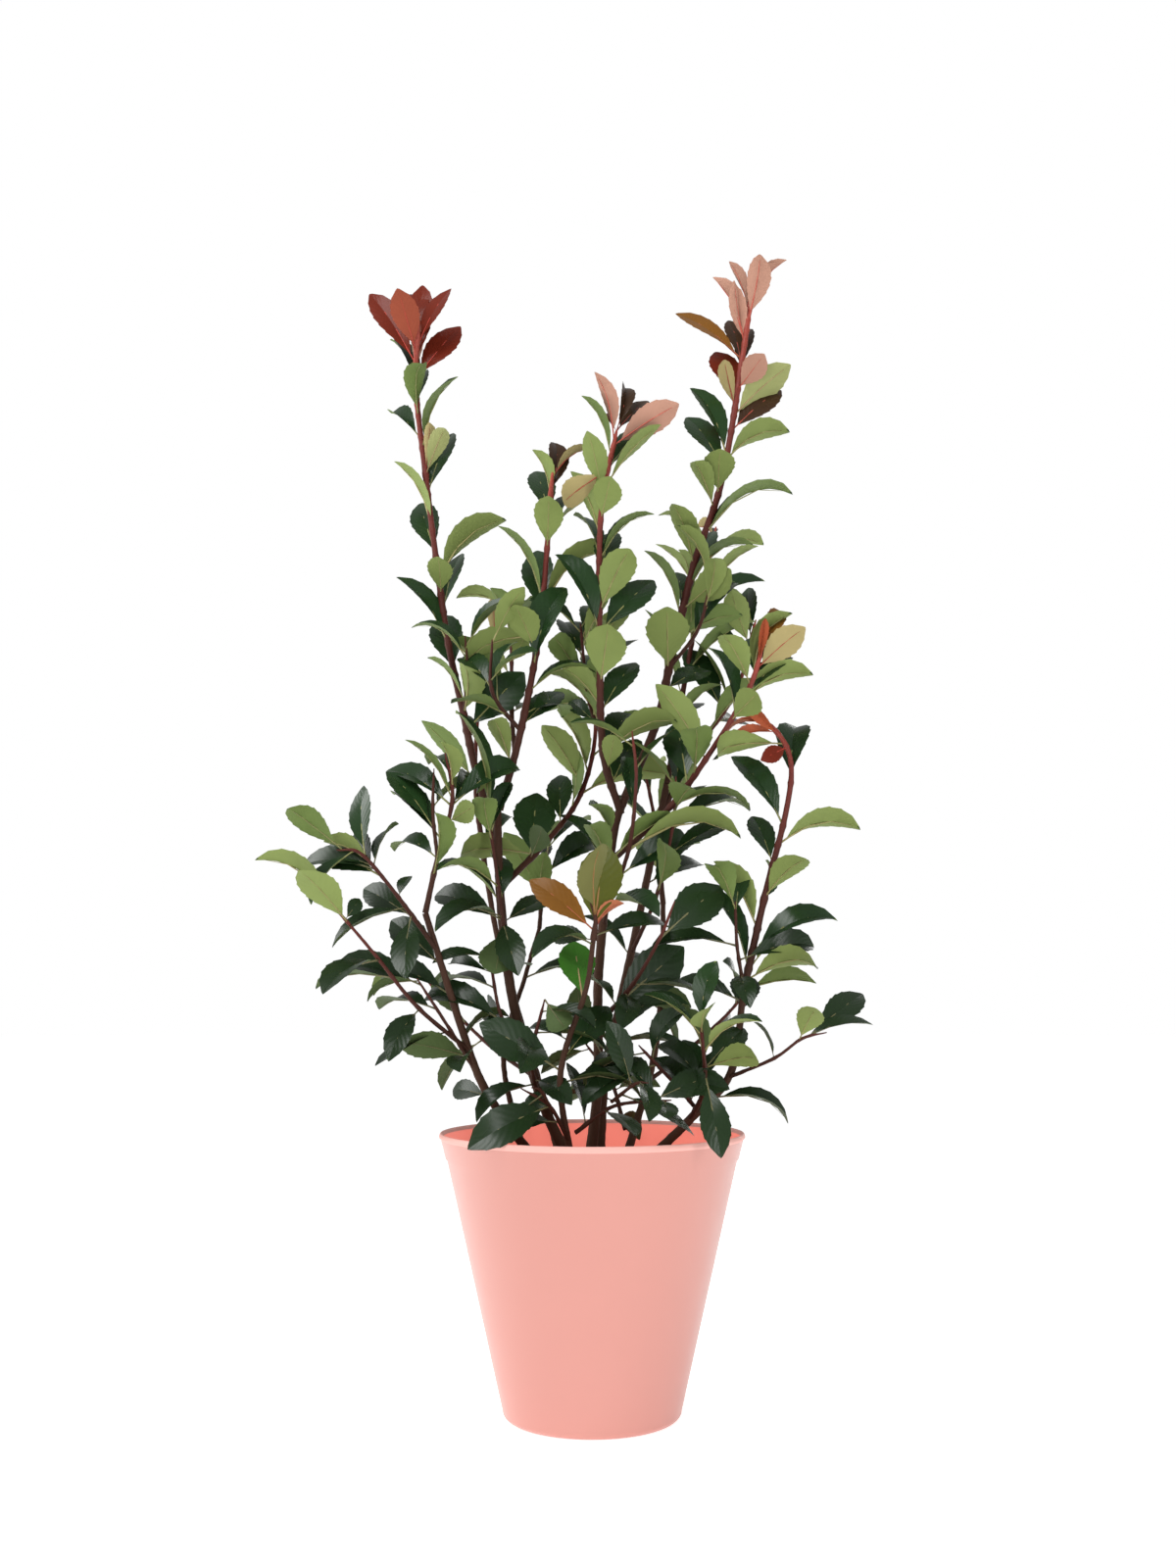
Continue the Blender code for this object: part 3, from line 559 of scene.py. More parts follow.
# Shoots also have the length that is bare, the bands of leaf colour from the foot
# up with the share of the leafy length where each ends, and their CAD masses
SHOOTS = {
    "left_tall": ([(-96, 0, 552), (-118, 10, 623), (-133, 20, 687), (-154, 30, 783), (-180, 45, 960),
        (-192, 50, 1060), (-188, 33, 1128)], 4.0, 2.6, 100, [("deep", 0.86), ("red", 1.0)],
        ["mass_left_tall_spray", "mass_left_tall_tip"]),
    "centre_left": ([(-94, 0, 585), (-73, -10, 662), (-53, -6, 777), (-42, -20, 916), (-40, -20, 935)],
        4.0, 2.4, 60, [("deep", 0.6), ("mid", 0.9), ("bronze", 1.0)], ["mass_centre_left_lower",
        "mass_centre_left_upper"]),
    "back_of_left": ([(-78, -6, 640), (-84, 34, 694), (-86, 55, 767), (-93, 80, 824)], 2.6, 1.6, 50,
        [("deep", 0.8), ("mid", 1.0)], ["mass_back_of_left_spray"]),
    "left_cross": ([(-92, -8, 505), (-45, 40, 559), (-12, 82, 612), (4, 105, 682), (-1, 112, 769)], 3.4,
        1.8, 110, [("deep", 0.6), ("mid", 1.0)], ["mass_left_cross_spray"]),
    "right_tall": ([(34, 30, 601), (67, 38, 679), (83, 39, 747), (110, 43, 857), (141, 48, 951),
        (167, 52, 1101), (176, 51, 1168)], 4.6, 2.8, 100, [("deep", 0.45), ("mid", 0.68), ("fresh", 0.76),
        ("bronze", 0.86), ("red", 0.92), ("pink", 1.0)], ["mass_right_tall_lower",
        "mass_right_tall_upper", "mass_right_tall_tip"]),
    "centre": ([(30, 30, 585), (12, 7, 643), (8, -21, 730), (9, -42, 879), (25, -50, 967)], 4.0, 2.4, 60,
        [("deep", 0.45), ("mid", 0.84), ("bronze", 0.93), ("pink", 1.0)], ["mass_centre_lower",
        "mass_centre_upper"]),
    "right_cross": ([(19, 29, 535), (76, -9, 584), (115, -38, 634), (154, -58, 697), (169, -65, 742)],
        3.6, 2.0, 70, [("deep", 0.55), ("mid", 0.84), ("amber", 1.0)], ["mass_right_cross_spray"]),
    "back_tall": ([(80, 70, 621), (92, 107, 683), (108, 124, 768), (126, 139, 858), (143, 152, 931)], 3.4,
        2.0, 60, [("deep", 0.6), ("mid", 0.92), ("bronze", 1.0)], ["mass_back_tall_spray"]),
    "right_back": ([(74, 66, 590), (112, 90, 660), (160, 118, 732), (184, 126, 815)], 3.0, 1.8, 70,
        [("deep", 0.5), ("mid", 1.0)], ["mass_right_back_spray"]),
    "arching": ([(150, -15, 405), (172, -20, 498), (194, -20, 580), (200, -20, 630), (186, -20, 662),
        (157, -17, 683)], 3.8, 2.2, 10, [("low", 0.25), ("deep", 0.6), ("mid", 0.74), ("bronze", 0.88),
        ("copper", 1.0)], ["mass_arching_spray", "mass_arching_tip"]),
    "far_right": ([(132, -9, 318), (175, -45, 339), (200, -60, 358), (222, -70, 364)], 2.0, 1.2, 82,
        [("low", 1.0)], ["mass_far_right_spray"]),
    "low_right": ([(96, -4, 278), (108, -40, 310), (104, -85, 348), (100, -104, 376)], 2.6, 1.4, 30,
        [("low", 0.6), ("mid", 1.0)], ["mass_low_right_spray"]),
    "low_left_inner": ([(-162, -50, 478), (-151, -56, 528), (-136, -62, 588), (-144, -60, 634)], 3.0, 1.4,
        10, [("deep", 1.0)], ["mass_low_left_inner_spray"]),
    "low_left_outer": ([(-151, -47, 443), (-188, -84, 496), (-218, -103, 531), (-240, -107, 534)], 2.4,
        1.3, 40, [("low", 0.5), ("deep", 1.0)], ["mass_low_left_outer_spray"]),
    "far_left": ([(-118, -36, 345), (-166, -70, 388), (-205, -101, 439), (-247, -119, 489)], 2.4, 1.2, 60,
        [("low", 0.6), ("mid", 1.0)], ["mass_far_left_spray"]),
    "front": ([(1, -95, 450), (3, -98, 470), (-2, -101, 485)], 2.8, 1.4, 0, [("low", 0.3), ("olive", 0.7),
        ("amber", 1.0)], ["mass_front_rosette"]),
    "thin_left": ([(-56, 98, 470), (-53, 129, 520), (-46, 126, 572)], 2.4, 1.3, 0, [("deep", 1.0)],
        ["mass_thin_left_spray"]),
    "back_left": ([(-118, 142, 540), (-130, 150, 638), (-125, 154, 740), (-107, 164, 801)], 3.2, 1.4, 0,
        [("deep", 0.7), ("mid", 0.92), ("bronze", 1.0)], ["mass_back_left_spray"]),
    "back_right": ([(80, 170, 500), (72, 182, 594), (58, 187, 665)], 3.2, 1.4, 0, [("deep", 0.7),
        ("mid", 1.0)], ["mass_back_right_spray"]),
    "back_low": ([(-58, 96, 312), (-110, 131, 345), (-160, 160, 390), (-190, 164, 425)], 2.4, 1.3, 50,
        [("low", 0.7), ("deep", 1.0)], ["mass_back_low_spray"]),
    "back_side": ([(60, 114, 308), (108, 146, 342), (162, 157, 393), (179, 147, 440)], 2.4, 1.3, 50,
        [("low", 0.7), ("deep", 1.0)], ["mass_back_side_spray"]),
    "left_stem_side": ([(-62, -20, 345), (-88, -39, 379), (-101, -29, 441)], 2.2, 1.2, 5, [("low", 1.0)],
        ["mass_left_stem_foliage"]),
    "middle_stem_side": ([(12, 26, 470), (20, -9, 512), (19, -17, 562)], 2.2, 1.2, 10, [("deep", 1.0)],
        ["mass_middle_stem_foliage"]),
    "front_right_side": ([(10, 10, 374), (40, -40, 410), (64, -75, 452), (78, -89, 487)], 2.6, 1.3, 40,
        [("low", 1.0)], ["mass_front_right_foliage"]),
    "front_left_foot": ([(-22, -54, 262), (-40, -76, 296), (-66, -100, 314)], 2.2, 1.3, 12,
        [("low", 1.0)], ["mass_front_left_foot"]),
    "front_right_foot": ([(-16, -56, 270), (21, -73, 296), (73, -97, 303)], 2.2, 1.3, 12, [("low", 1.0)],
        ["mass_front_right_foot"]),
    "low_left_side": ([(-112, -32, 325), (-136, -48, 365), (-168, -60, 415)], 2.2, 1.2, 10,
        [("low", 1.0)], ["mass_low_left_foliage"]),
    "twig_left_front": ([(-86, -14, 450), (-92, -33, 505), (-101, -49, 568)], 2.2, 1.4, 10,
        [("deep", 1.0)], []),
    "twig_centre_left": ([(-72, -10, 664), (-100, -30, 700), (-100, -42, 752)], 2.2, 1.4, 14,
        [("deep", 0.7), ("mid", 1.0)], []),
    "twig_middle_front": ([(14, 26, 490), (36, -12, 540), (44, -30, 610), (40, -36, 660)], 2.4, 1.4, 30,
        [("deep", 1.0)], []),
    "twig_centre_back": ([(10, 0, 660), (-4, 27, 708), (-12, 32, 787)], 2.2, 1.4, 14, [("deep", 0.6),
        ("mid", 1.0)], []),
    "twig_right_inner": ([(40, 52, 440), (66, 17, 500), (82, 2, 569), (85, -10, 618)], 2.4, 1.4, 30,
        [("deep", 1.0)], []),
    "twig_right_tall": ([(82, 40, 741), (112, 26, 780), (125, 16, 831)], 2.2, 1.4, 14, [("deep", 0.5),
        ("mid", 1.0)], []),
    "twig_right_low": ([(104, -5, 287), (78, -44, 316), (44, -67, 352)], 2.2, 1.4, 12, [("low", 1.0)],
        []),
    "twig_left_low": ([(-52, -18, 300), (-58, -57, 340), (-45, -76, 395)], 2.2, 1.4, 12, [("low", 1.0)],
        []),
    "twig_middle_low": ([(6, 21, 330), (21, -25, 358), (25, -40, 398)], 2.2, 1.4, 12, [("low", 1.0)], []),
    "twig_back_low": ([(34, 70, 262), (20, 106, 310), (-8, 133, 349)], 2.2, 1.4, 12, [("low", 1.0)], []),
    "twig_rim_left": ([(-40, -76, 296), (-48, -97, 312), (-56, -107, 315)], 1.8, 1.3, 4, [("hang", 1.0)],
        []),
    "twig_rim_right": ([(104, -60, 326), (106, -89, 329), (105, -101, 323)], 1.8, 1.3, 4, [("hang", 1.0)],
        []),
    "twig_rim_middle": ([(18, -76, 300), (40, -98, 318), (52, -105, 319)], 1.8, 1.3, 4, [("low", 1.0)],
        []),
    "twig_left_upper": ([(-150, -58, 530), (-155, -59, 574), (-155, -56, 619)], 2.0, 1.3, 6,
        [("deep", 1.0)], []),
    "twig_right_side": ([(150, -15, 405), (142, -34, 446), (140, -40, 490)], 2.0, 1.3, 10, [("low", 0.5),
        ("deep", 1.0)], []),
    "twig_left_tall": ([(-133, 20, 687), (-128, 0, 724), (-130, -8, 764)], 2.0, 1.3, 10, [("deep", 1.0)],
        []),
    "back_side_low": ([(14, 44, 325), (27, 71, 374), (44, 89, 450)], 2.4, 1.3, 15, [("low", 1.0)],
        ["mass_back_foliage"]),
}


def smooth_path(points, step):
    """Points every few millimetres along a smooth curve through the given points."""
    anchors = [Vector([part / PER_METRE for part in p]) for p in points]
    padded = [anchors[0] * 2 - anchors[1]] + anchors + [anchors[-1] * 2 - anchors[-2]]
    fine = []
    for i in range(1, len(padded) - 2):
        a, b, c, d = padded[i - 1:i + 3]
        count = max(2, round((c - b).length / step))
        for k in range(count):
            t = k / count
            fine.append(0.5 * (2 * b + (c - a) * t + (2 * a - 5 * b + 4 * c - d) * t ** 2
                               + (3 * b - a - 3 * c + d) * t ** 3))
    fine.append(anchors[-1])
    return fine


def lengths_along(path):
    """The length from a path's foot to each of its points."""
    total = [0.0]
    for a, b in zip(path, path[1:]):
        total.append(total[-1] + (b - a).length)
    return total


def point_at(path, lengths, wanted):
    """The place and direction at a length along a path."""
    for i in range(1, len(path)):
        if lengths[i] >= wanted or i == len(path) - 1:
            share = (wanted - lengths[i - 1]) / max(1e-9, lengths[i] - lengths[i - 1])
            place = path[i - 1].lerp(path[i], min(1.0, share))
            return place, (path[i] - path[i - 1]).normalized()


# The leaves. Leathery, broadest past the middle, finely toothed, folded up along
# the midrib and arched back at the tip on a short stalk. They stand singly round
# the shoots, each turned by the golden angle from the one below.
STALK = 0.13
FOOT_POWER = 1.15
TIP_POWER = 0.92
MIDRIB_STEPS = 12
ARCH_POWER = 1.5
FOLD_EASE = 0.35
GOLDEN_TURN = math.radians(137.5)
LEAF_SEED = 1
BARE_SHARE = 0.30
TAKEN_REACH = 0.55
TALL_SHOOT = 0.16
TALL_SPACING = 0.024
TALL_LEAF = 0.076
TWIG_SPACING = 0.015
TWIG_LEAF = 0.068
LEAF_WALL_ROOM = 0.004
LEAF_FLOOR = 0.233
BOX_ROOM = 0.022
FIRST_JOINT = 0.4
LAST_JOINT = 0.002
TIP_GAP = 0.30
TIP_CROWD = 2.6
JOINT_SLIP = 0.4
IN_SKIN = 0.6
SIDE_PLAY = 32
ROLL_PLAY = 42
OPENING_PLAY = (-14, 16)
GROWTH_LEAST = 0.82
GROWTH_GAIN = 0.24
GROWTH_START = 0.15
GROWTH_RUN = 0.8
LENGTH_PLAY = (0.82, 1.12)
BREADTH_PLAY = (0.90, 1.10)
LIGHT_PULL = Vector((0.0, 0.0, 0.9))
DROOP_PULL = Vector((0.0, 0.0, 2.2))
TOWARD_VIEW = Vector((0.0, -1.0, 0.0))

# Blades: width, fold of each half, arch of the midrib, twist, curl of the
# margin, all for a blade of length 1
BLADES = [
    (0.45, 28, 46, 8, 0.10),
    (0.44, 38, 66, -12, 0.06),
    (0.47, 16, 28, 12, 0.12),
    (0.45, 30, 84, 6, 0.08),
    (0.43, 54, 40, -6, 0.03),
    (0.50, 10, 16, -5, 0.10),
    (0.45, 30, 54, 26, 0.08),
    (0.45, 30, 54, -28, 0.08),
]

# How the leaves of each band stand: their kind, angle to the shoot in degrees,
# droop, size, and the blades to choose from
BAND_STYLE = {
    # The low and hang bands take the low kind, whose darker colours are painted shade
    "low": ("low", 56, 0.16, 1.00, (0, 2, 6, 3, 1, 7)),
    "hang": ("low", 74, 0.75, 1.00, (0, 2, 6, 7)),
    "deep": ("deep", 36, 0.04, 1.00, (0, 1, 2, 3, 6, 7, 4)),
    "mid": ("mid", 30, 0.00, 0.95, (0, 1, 2, 3, 6, 7, 4)),
    "fresh": ("fresh", 28, 0.0, 0.84, (0, 1, 4)),
    "olive": ("olive", 20, 0.0, 1.08, (5, 2)),
    "amber": ("amber", 30, 0.0, 0.85, (2, 4)),
    "bronze": ("bronze", 28, 0.0, 0.92, (0, 1, 4)),
    "copper": ("copper", 34, 0.0, 0.60, (4, 1)),
    "red": ("red", 28, 0.0, 1.02, (5, 0, 2)),
    "pink": ("pink", 20, 0.0, 0.85, (4, 0)),
}
YOUNG_KINDS = ("olive", "amber", "bronze", "copper", "red", "pink")


def half_width(t, width):
    """The blade's half width at a share of its length, before the teeth."""
    powers = FOOT_POWER + TIP_POWER
    peak = (FOOT_POWER / powers) ** FOOT_POWER * (TIP_POWER / powers) ** TIP_POWER
    return 0.5 * width * max(0.0, t) ** FOOT_POWER * max(0.0, 1.0 - t) ** TIP_POWER / peak


def blade_point(t, across, width, fold, arch, twist, curl, lift=0.0):
    """A point of the arched and folded blade. across runs from -1 to 1."""
    along_y = 0.0
    along_z = 0.0
    for k in range(MIDRIB_STEPS):
        s = t * (k + 0.5) / MIDRIB_STEPS
        bend = math.radians(arch) * s ** ARCH_POWER
        along_y += math.cos(bend) * t / MIDRIB_STEPS
        along_z -= math.sin(bend) * t / MIDRIB_STEPS
    bend = math.radians(arch) * t ** ARCH_POWER
    half = half_width(t, width) * across
    opening = math.radians(fold) * (1.0 - FOLD_EASE * t)
    side = half * math.cos(opening)
    up = abs(half) * math.sin(opening) - curl * half * half / max(width, 1e-6) * 2.0 + lift
    roll = math.radians(twist) * t
    side, up = side * math.cos(roll) - up * math.sin(roll), side * math.sin(roll) + up * math.cos(roll)
    return Vector((side, STALK + along_y + up * math.sin(bend), along_z + up * math.cos(bend)))


def square_to(direction, wanted):
    """The direction nearest to the wanted one that is square to the first."""
    return (wanted - direction * wanted.dot(direction)).normalized()


def leaf_turn(heading, upper):
    """The turn of a leaf from where it points and where its upper side faces."""
    return Matrix((heading.cross(upper), heading, upper)).transposed().to_euler()


def stands_clear(foot, turn, size, blade):
    """True for a leaf that keeps to the plant's box and off the planter and the soil."""
    within = set()
    for along in (0.0, 0.2, 0.4, 0.6, 0.8, 1.0):
        for across in (-1.0, -0.5, 0.0, 0.5, 1.0):
            local = blade_point(along, across, *BLADES[blade])
            point = foot + turn @ Vector([local[axis] * size[axis] for axis in range(3)])
            for axis in range(3):
                room = BOX_ROOM * (cad_box[1][axis] - cad_box[0][axis])
                if not cad_box[0][axis] - room < point[axis] < cad_box[1][axis] + room:
                    return False
            if point.z < PLANTER_HEIGHT + LEAF_WALL_ROOM:
                share = min(point.z, PLANTER_HEIGHT) / PLANTER_HEIGHT
                wall = BASE_RADIUS + (RIM_RADIUS - BASE_RADIUS) * share
                reach = math.hypot(point.x, point.y)
                if abs(reach - wall) < LEAF_WALL_ROOM or (reach < wall and point.z < LEAF_FLOOR):
                    return False
                within.add(reach < wall)
    return len(within) < 2


def leaves_of(name, shoot, path, lengths, taken):
    """The leaves of one shoot, as (kind, place, turn, size, blade, joint).

    Every joint has its own seeded draws. It stays bare where a leaf that was
    read off the photograph already stands, and now and then elsewhere.
    """
    foot, tip, bare = (size / PER_METRE for size in shoot[1:4])
    bands = shoot[4]
    total = lengths[-1]
    spacing = TALL_SPACING if total > TALL_SHOOT else TWIG_SPACING
    leaf_length = TALL_LEAF if total > TALL_SHOOT else TWIG_LEAF
    turn = random.Random(name).uniform(0.0, math.tau)
    leaves = []
    at = bare + spacing * FIRST_JOINT
    number = -1
    while at < total - LAST_JOINT:
        number += 1
        left = (total - at) / max(total - bare, 1e-6)
        gap = spacing * (TIP_GAP + (1.0 - TIP_GAP) * min(1.0, left * TIP_CROWD))
        rule = random.Random("%s %d %d" % (name, number, LEAF_SEED))
        joint = min(total, max(bare, at + gap * rule.uniform(-JOINT_SLIP, JOINT_SLIP)))
        share = (joint - bare) / max(total - bare, 1e-6)
        band = next(label for label, end in bands if share <= end + 1e-6 or label == bands[-1][0])
        kind, angle, droop, scale, blades = BAND_STYLE[band]
        place, lean = point_at(path, lengths, joint)
        side_turn = turn + math.radians(rule.uniform(-SIDE_PLAY, SIDE_PLAY))
        outward = Matrix.Rotation(side_turn, 3, lean) @ square_to(lean, TOWARD_VIEW)
        opening = math.radians(angle + rule.uniform(*OPENING_PLAY))
        heading = lean * math.cos(opening) + outward * math.sin(opening) + Vector((0, 0, -droop))
        heading.normalize()
        facing = lean * math.sin(opening) - outward * math.cos(opening)
        facing += LIGHT_PULL * (1.0 - max(0.0, lean.z)) + DROOP_PULL * droop
        facing = square_to(heading, facing)
        facing = Matrix.Rotation(math.radians(rule.uniform(-ROLL_PLAY, ROLL_PLAY)), 3, heading) @ facing
        ripe = min(1.0, GROWTH_START + share * GROWTH_RUN)
        growth = GROWTH_LEAST + GROWTH_GAIN * math.sin(math.pi * ripe)
        size = leaf_length * scale * growth * rule.uniform(*LENGTH_PLAY)
        broad = size * rule.uniform(*BREADTH_PLAY)
        radius = foot + (tip - foot) * joint / total
        euler = leaf_turn(heading, facing)
        blade = rule.choice(blades)
        free = all(abs(joint - other) > gap * TAKEN_REACH for other in taken)
        grows = rule.random() > BARE_SHARE
        leaf_foot = place + outward * radius * IN_SKIN
        leaf_size = (broad, size, size)
        if free and grows and stands_clear(leaf_foot, euler.to_matrix(), leaf_size, blade):
            leaves.append((kind, leaf_foot, tuple(euler), leaf_size, blade, joint))
        turn += GOLDEN_TURN
        at += gap
    return leaves


# Leaves read off the photograph, a row each: the pixels of foot and tip,
# the roll in degrees (0 turns the upper side to the front), the width in pixels,
# kind, blade, and for some how the tip leans: near, far, or millimetres away
MEASURED_LEAVES = {
    "stem_left": """
    518 940 563 916 -30 24 low 2
    517 938 529 996 0 26 low 2 near
    508 921 457 879 80 24 deep 0""",
    "stem_middle": """
    602 884 568 832 60 26 deep 0""",
    "stem_right": """
    662 905 717 883 -40 26 low 0""",
    "stem_low_right": """
    736 1128 804 1147 -68 24 low 3
    753 1034 761 995 0 28 low 2
    755 1020 684 1007 60 28 low 0""",
    "stem_low_left": """
    496 1120 462 1112 30 20 low 2
    482 1080 408 1064 158 30 low 2
    455 1018 392 1003 50 26 low 3
    450 987 399 939 20 30 low 2""",
    "stem_front": """
    572 1107 655 1123 -80 28 low 3
    568 1094 489 1044 20 36 low 2
    584 1084 621 1027 -10 30 deep 2
    582 1064 538 1051 60 20 low 0
    592 1018 585 960 6 34 fresh 5 far
    592 962 543 978 60 22 low 3""",
    "stem_thin_left": """
    540 997 613 1004 -68 26 low 3""",
    "left_tall": """
    470 760 465 728 60 18 deep 0
    480 745 535 686 -12 38 deep 5
    475 730 474 679 150 30 mid 4
    463 690 451 628 5 32 deep 2
    455 657 404 589 62 30 deep 0
    458 624 471 565 -25 26 deep 2
    456 608 447 568 178 24 mid 2
    450 590 517 531 -118 30 mid 3
    445 570 428 514 5 28 deep 2
    440 541 402 471 100 30 mid 0
    440 503 462 442 -20 29 deep 2
    437 484 454 437 -150 18 fresh 0
    436 482 438 431 175 13 bronze 4
    428 412 434 378 -10 16 deep 2
    425 408 398 347 50 20 deep 0
    428 386 470 333 -22 31 red 5
    423 378 424 318 178 13 pink 4
    424 374 431 291 8 26 red 2
    421 372 377 300 20 27 red 2""",
    "centre_left": """
    550 788 491 801 140 26 mid 3
    518 780 504 734 168 20 mid 4
    540 744 573 706 -20 28 deep 2
    540 707 608 687 -68 30 deep 3
    549 682 578 600 -28 32 deep 1
    547 664 525 617 160 30 mid 2
    546 647 474 677 128 30 mid 3
    551 630 547 562 0 31 deep 2
    557 620 634 562 -100 34 mid 3
    549 614 508 537 92 34 deep 0
    562 560 592 502 -42 26 deep 0
    560 558 560 506 180 28 mid 2
    556 532 546 481 20 26 deep 2
    562 508 543 459 110 20 mid 4
    564 504 566 452 30 22 bronze 0""",
    "back_of_left": """
    527 690 477 652 112 30 mid 0
    527 678 536 648 180 18 mid 2
    524 654 500 600 120 26 deep 4""",
    "left_cross": """
    551 888 553 844 176 22 low 2
    553 880 470 874 148 28 mid 3
    530 866 548 809 0 40 deep 5
    568 840 571 791 0 25 deep 2
    602 816 688 793 -130 32 mid 3
    597 806 553 740 150 28 mid 0
    596 790 568 724 120 26 mid 4""",
    "right_tall": """
    683 704 723 684 -30 28 deep 2
    677 696 658 622 88 26 deep 0
    683 684 681 619 180 40 mid 2
    697 632 657 562 96 32 deep 0
    704 624 746 581 -160 30 mid 2
    700 622 690 584 20 20 deep 2
    706 606 769 557 -80 28 deep 3
    708 594 728 542 -20 24 deep 2
    703 594 692 561 100 14 mid 4
    706 577 686 514 140 26 mid 0
    722 547 809 505 -76 34 deep 3
    727 520 708 471 138 20 mid 4
    733 505 735 458 180 30 mid 2
    731 478 700 426 25 28 deep 2
    750 472 806 441 -112 30 mid 3
    735 464 704 396 40 28 mid 0
    753 441 797 398 -20 31 bronze 2
    752 426 807 372 -150 30 fresh 0
    750 417 739 367 172 16 bronze 4
    749 410 730 359 20 30 red 2
    756 398 780 361 -170 24 pink 5
    757 380 764 336 -20 20 bronze 2
    756 374 743 327 20 20 bronze 2
    754 368 689 320 45 28 amber 2
    757 352 727 283 100 20 pink 4
    757 352 749 286 180 13 pink 4
    759 337 796 268 -100 22 pink 4""",
    "centre": """
    620 802 649 754 -20 30 deep 2
    613 788 627 750 180 20 mid 2
    625 768 691 737 -130 28 mid 3
    610 767 590 703 100 28 deep 0
    613 762 643 728 -10 30 deep 2
    616 727 648 676 -20 30 deep 2
    606 722 572 680 118 28 mid 4
    613 700 621 637 180 38 mid 2
    617 647 667 592 -15 35 deep 2
    606 644 566 566 30 30 deep 1
    615 626 643 560 -160 32 mid 0
    613 587 626 543 -10 26 deep 2
    614 574 668 525 -80 28 deep 1
    606 573 585 526 60 24 deep 0
    611 550 582 481 128 26 mid 0
    613 532 623 486 180 28 mid 2
    626 482 575 513 150 26 bronze 0
    627 482 660 436 -20 28 deep 2
    619 466 593 404 95 28 deep 0
    627 457 693 412 -150 29 pink 0
    630 440 661 409 -30 26 bronze 5
    630 438 636 396 20 16 bronze 1
    628 436 617 424 0 7 pink 4""",
    "right_cross": """
    690 827 765 826 -80 34 deep 3
    700 802 690 737 0 33 deep 2
    723 777 669 698 150 30 mid 0
    748 739 773 707 -172 28 mid 2
    745 724 722 661 50 24 deep 0
    763 724 830 689 -118 30 mid 3
    764 700 737 648 140 26 mid 0
    771 694 768 650 0 22 deep 2
    772 692 809 626 -118 26 mid 3
    780 684 822 640 -150 30 bronze 2
    777 682 781 631 0 9 copper 4""",
    "right_back": """
    728 722 698 662 30 30 deep 2
    750 700 722 631 60 26 deep 0
    754 658 746 602 178 24 mid 2
    754 650 763 600 -20 20 deep 2""",
    "arching": """
    766 1004 834 989 -130 30 mid 3
    762 990 721 906 62 32 deep 0
    775 973 855 940 -50 32 deep 3
    770 949 728 879 118 28 mid 4
    781 920 781 878 60 18 deep 0
    784 916 824 877 -142 28 mid 0
    787 882 767 833 20 24 deep 2
    798 864 878 847 -118 30 mid 3
    795 840 746 772 40 32 deep 0
    806 797 813 742 -20 32 deep 1
    801 765 776 776 0 16 red 2
    800 760 733 774 140 26 mid 3
    790 754 762 718 -20 11 copper 1
    785 752 748 752 30 12 copper 4
    781 749 759 733 20 8 copper 4""",
    "far_right": """
    790 1083 769 1043 88 18 low 0
    816 1060 833 1029 180 24 mid 2
    818 1060 891 1046 -68 26 low 0
    824 1052 880 1014 -20 28 low 2""",
    "low_right": """
    712 1135 667 1080 40 26 low 0
    720 1120 697 1061 20 28 deep 2
    718 1105 672 1066 40 24 low 0
    724 1090 773 1081 -152 26 mid 0
    726 1090 759 1049 -20 26 low 2
    724 1087 697 1028 120 26 low 4""",
    "low_left_inner": """
    458 862 402 811 30 26 deep 1
    470 844 484 822 180 22 mid 2
    477 824 394 787 48 30 deep 0
    478 824 475 787 30 18 deep 0
    480 824 530 785 -30 28 deep 1
    476 818 413 755 96 30 deep 0
    478 802 449 757 130 24 mid 4""",
    "low_left_outer": """
    418 938 371 907 20 26 low 2
    412 938 414 999 20 27 low 2 near
    404 916 419 894 -30 14 low 0
    376 896 307 886 50 28 low 0
    374 890 323 871 40 20 low 2
    376 886 361 852 10 22 low 2
    377 884 330 859 120 22 mid 4
    384 884 407 841 -60 22 low 0""",
    "far_left": """
    355 940 305 888 160 34 mid 2
    354 938 367 917 20 14 low 2
    342 927 260 878 108 26 mid 1""",
    "front": """
    612 958 683 947 -50 28 low 0
    600 957 564 956 30 20 low 2
    603 952 617 861 -10 42 olive 5
    607 950 637 922 -122 16 copper 3
    598 948 540 898 30 29 amber 2""",
    "thin_left": """
    560 895 611 862 -30 28 deep 1""",
    "left_stem_side": """
    520 1040 431 1024 50 30 low 3
    487 993 459 984 30 14 low 4""",
    "front_right_side": """
    622 1030 698 966 -6 42 low 5
    660 950 736 904 -10 40 low 2""",
    "front_left_foot": """
    572 1125 536 1122 20 22 low 2""",
    "front_right_foot": """
    672 1137 628 1087 40 26 low 1""",
    "low_left_side": """
    420 1010 343 984 40 28 low 0""",
    "twig_left_front": """
    520 945 505 994 180 38 low 5 near
    508 940 444 914 30 28 low 0
    490 938 444 951 60 22 low 3
    500 830 466 726 84 28 deep 0""",
    "twig_centre_left": """
    512 702 471 671 30 26 deep 0""",
    "twig_middle_front": """
    642 900 703 858 -22 30 deep 1
    655 868 756 856 -104 36 mid 3""",
    "twig_centre_back": """
    590 745 581 714 0 16 deep 2""",
    "twig_right_inner": """
    690 847 765 828 -60 30 deep 3""",
    "twig_right_tall": """
    703 652 751 595 -30 28 deep 1""",
    "twig_left_low": """
    560 1003 577 1050 176 26 low 0 near""",
    "twig_rim_right": """
    720 1115 736 1182 0 27 low 2 -29""",
    "twig_rim_left": """
    566 1140 477 1173 22 34 low 0 -52""",
    "twig_left_upper": """
    462 880 403 869 60 26 deep 3""",
}
PHOTO_WIDTH = 1200
PHOTO_HEIGHT = 1600
FOCAL_PIXELS = CAMERA_LENS / FILM_WIDTH * PHOTO_HEIGHT
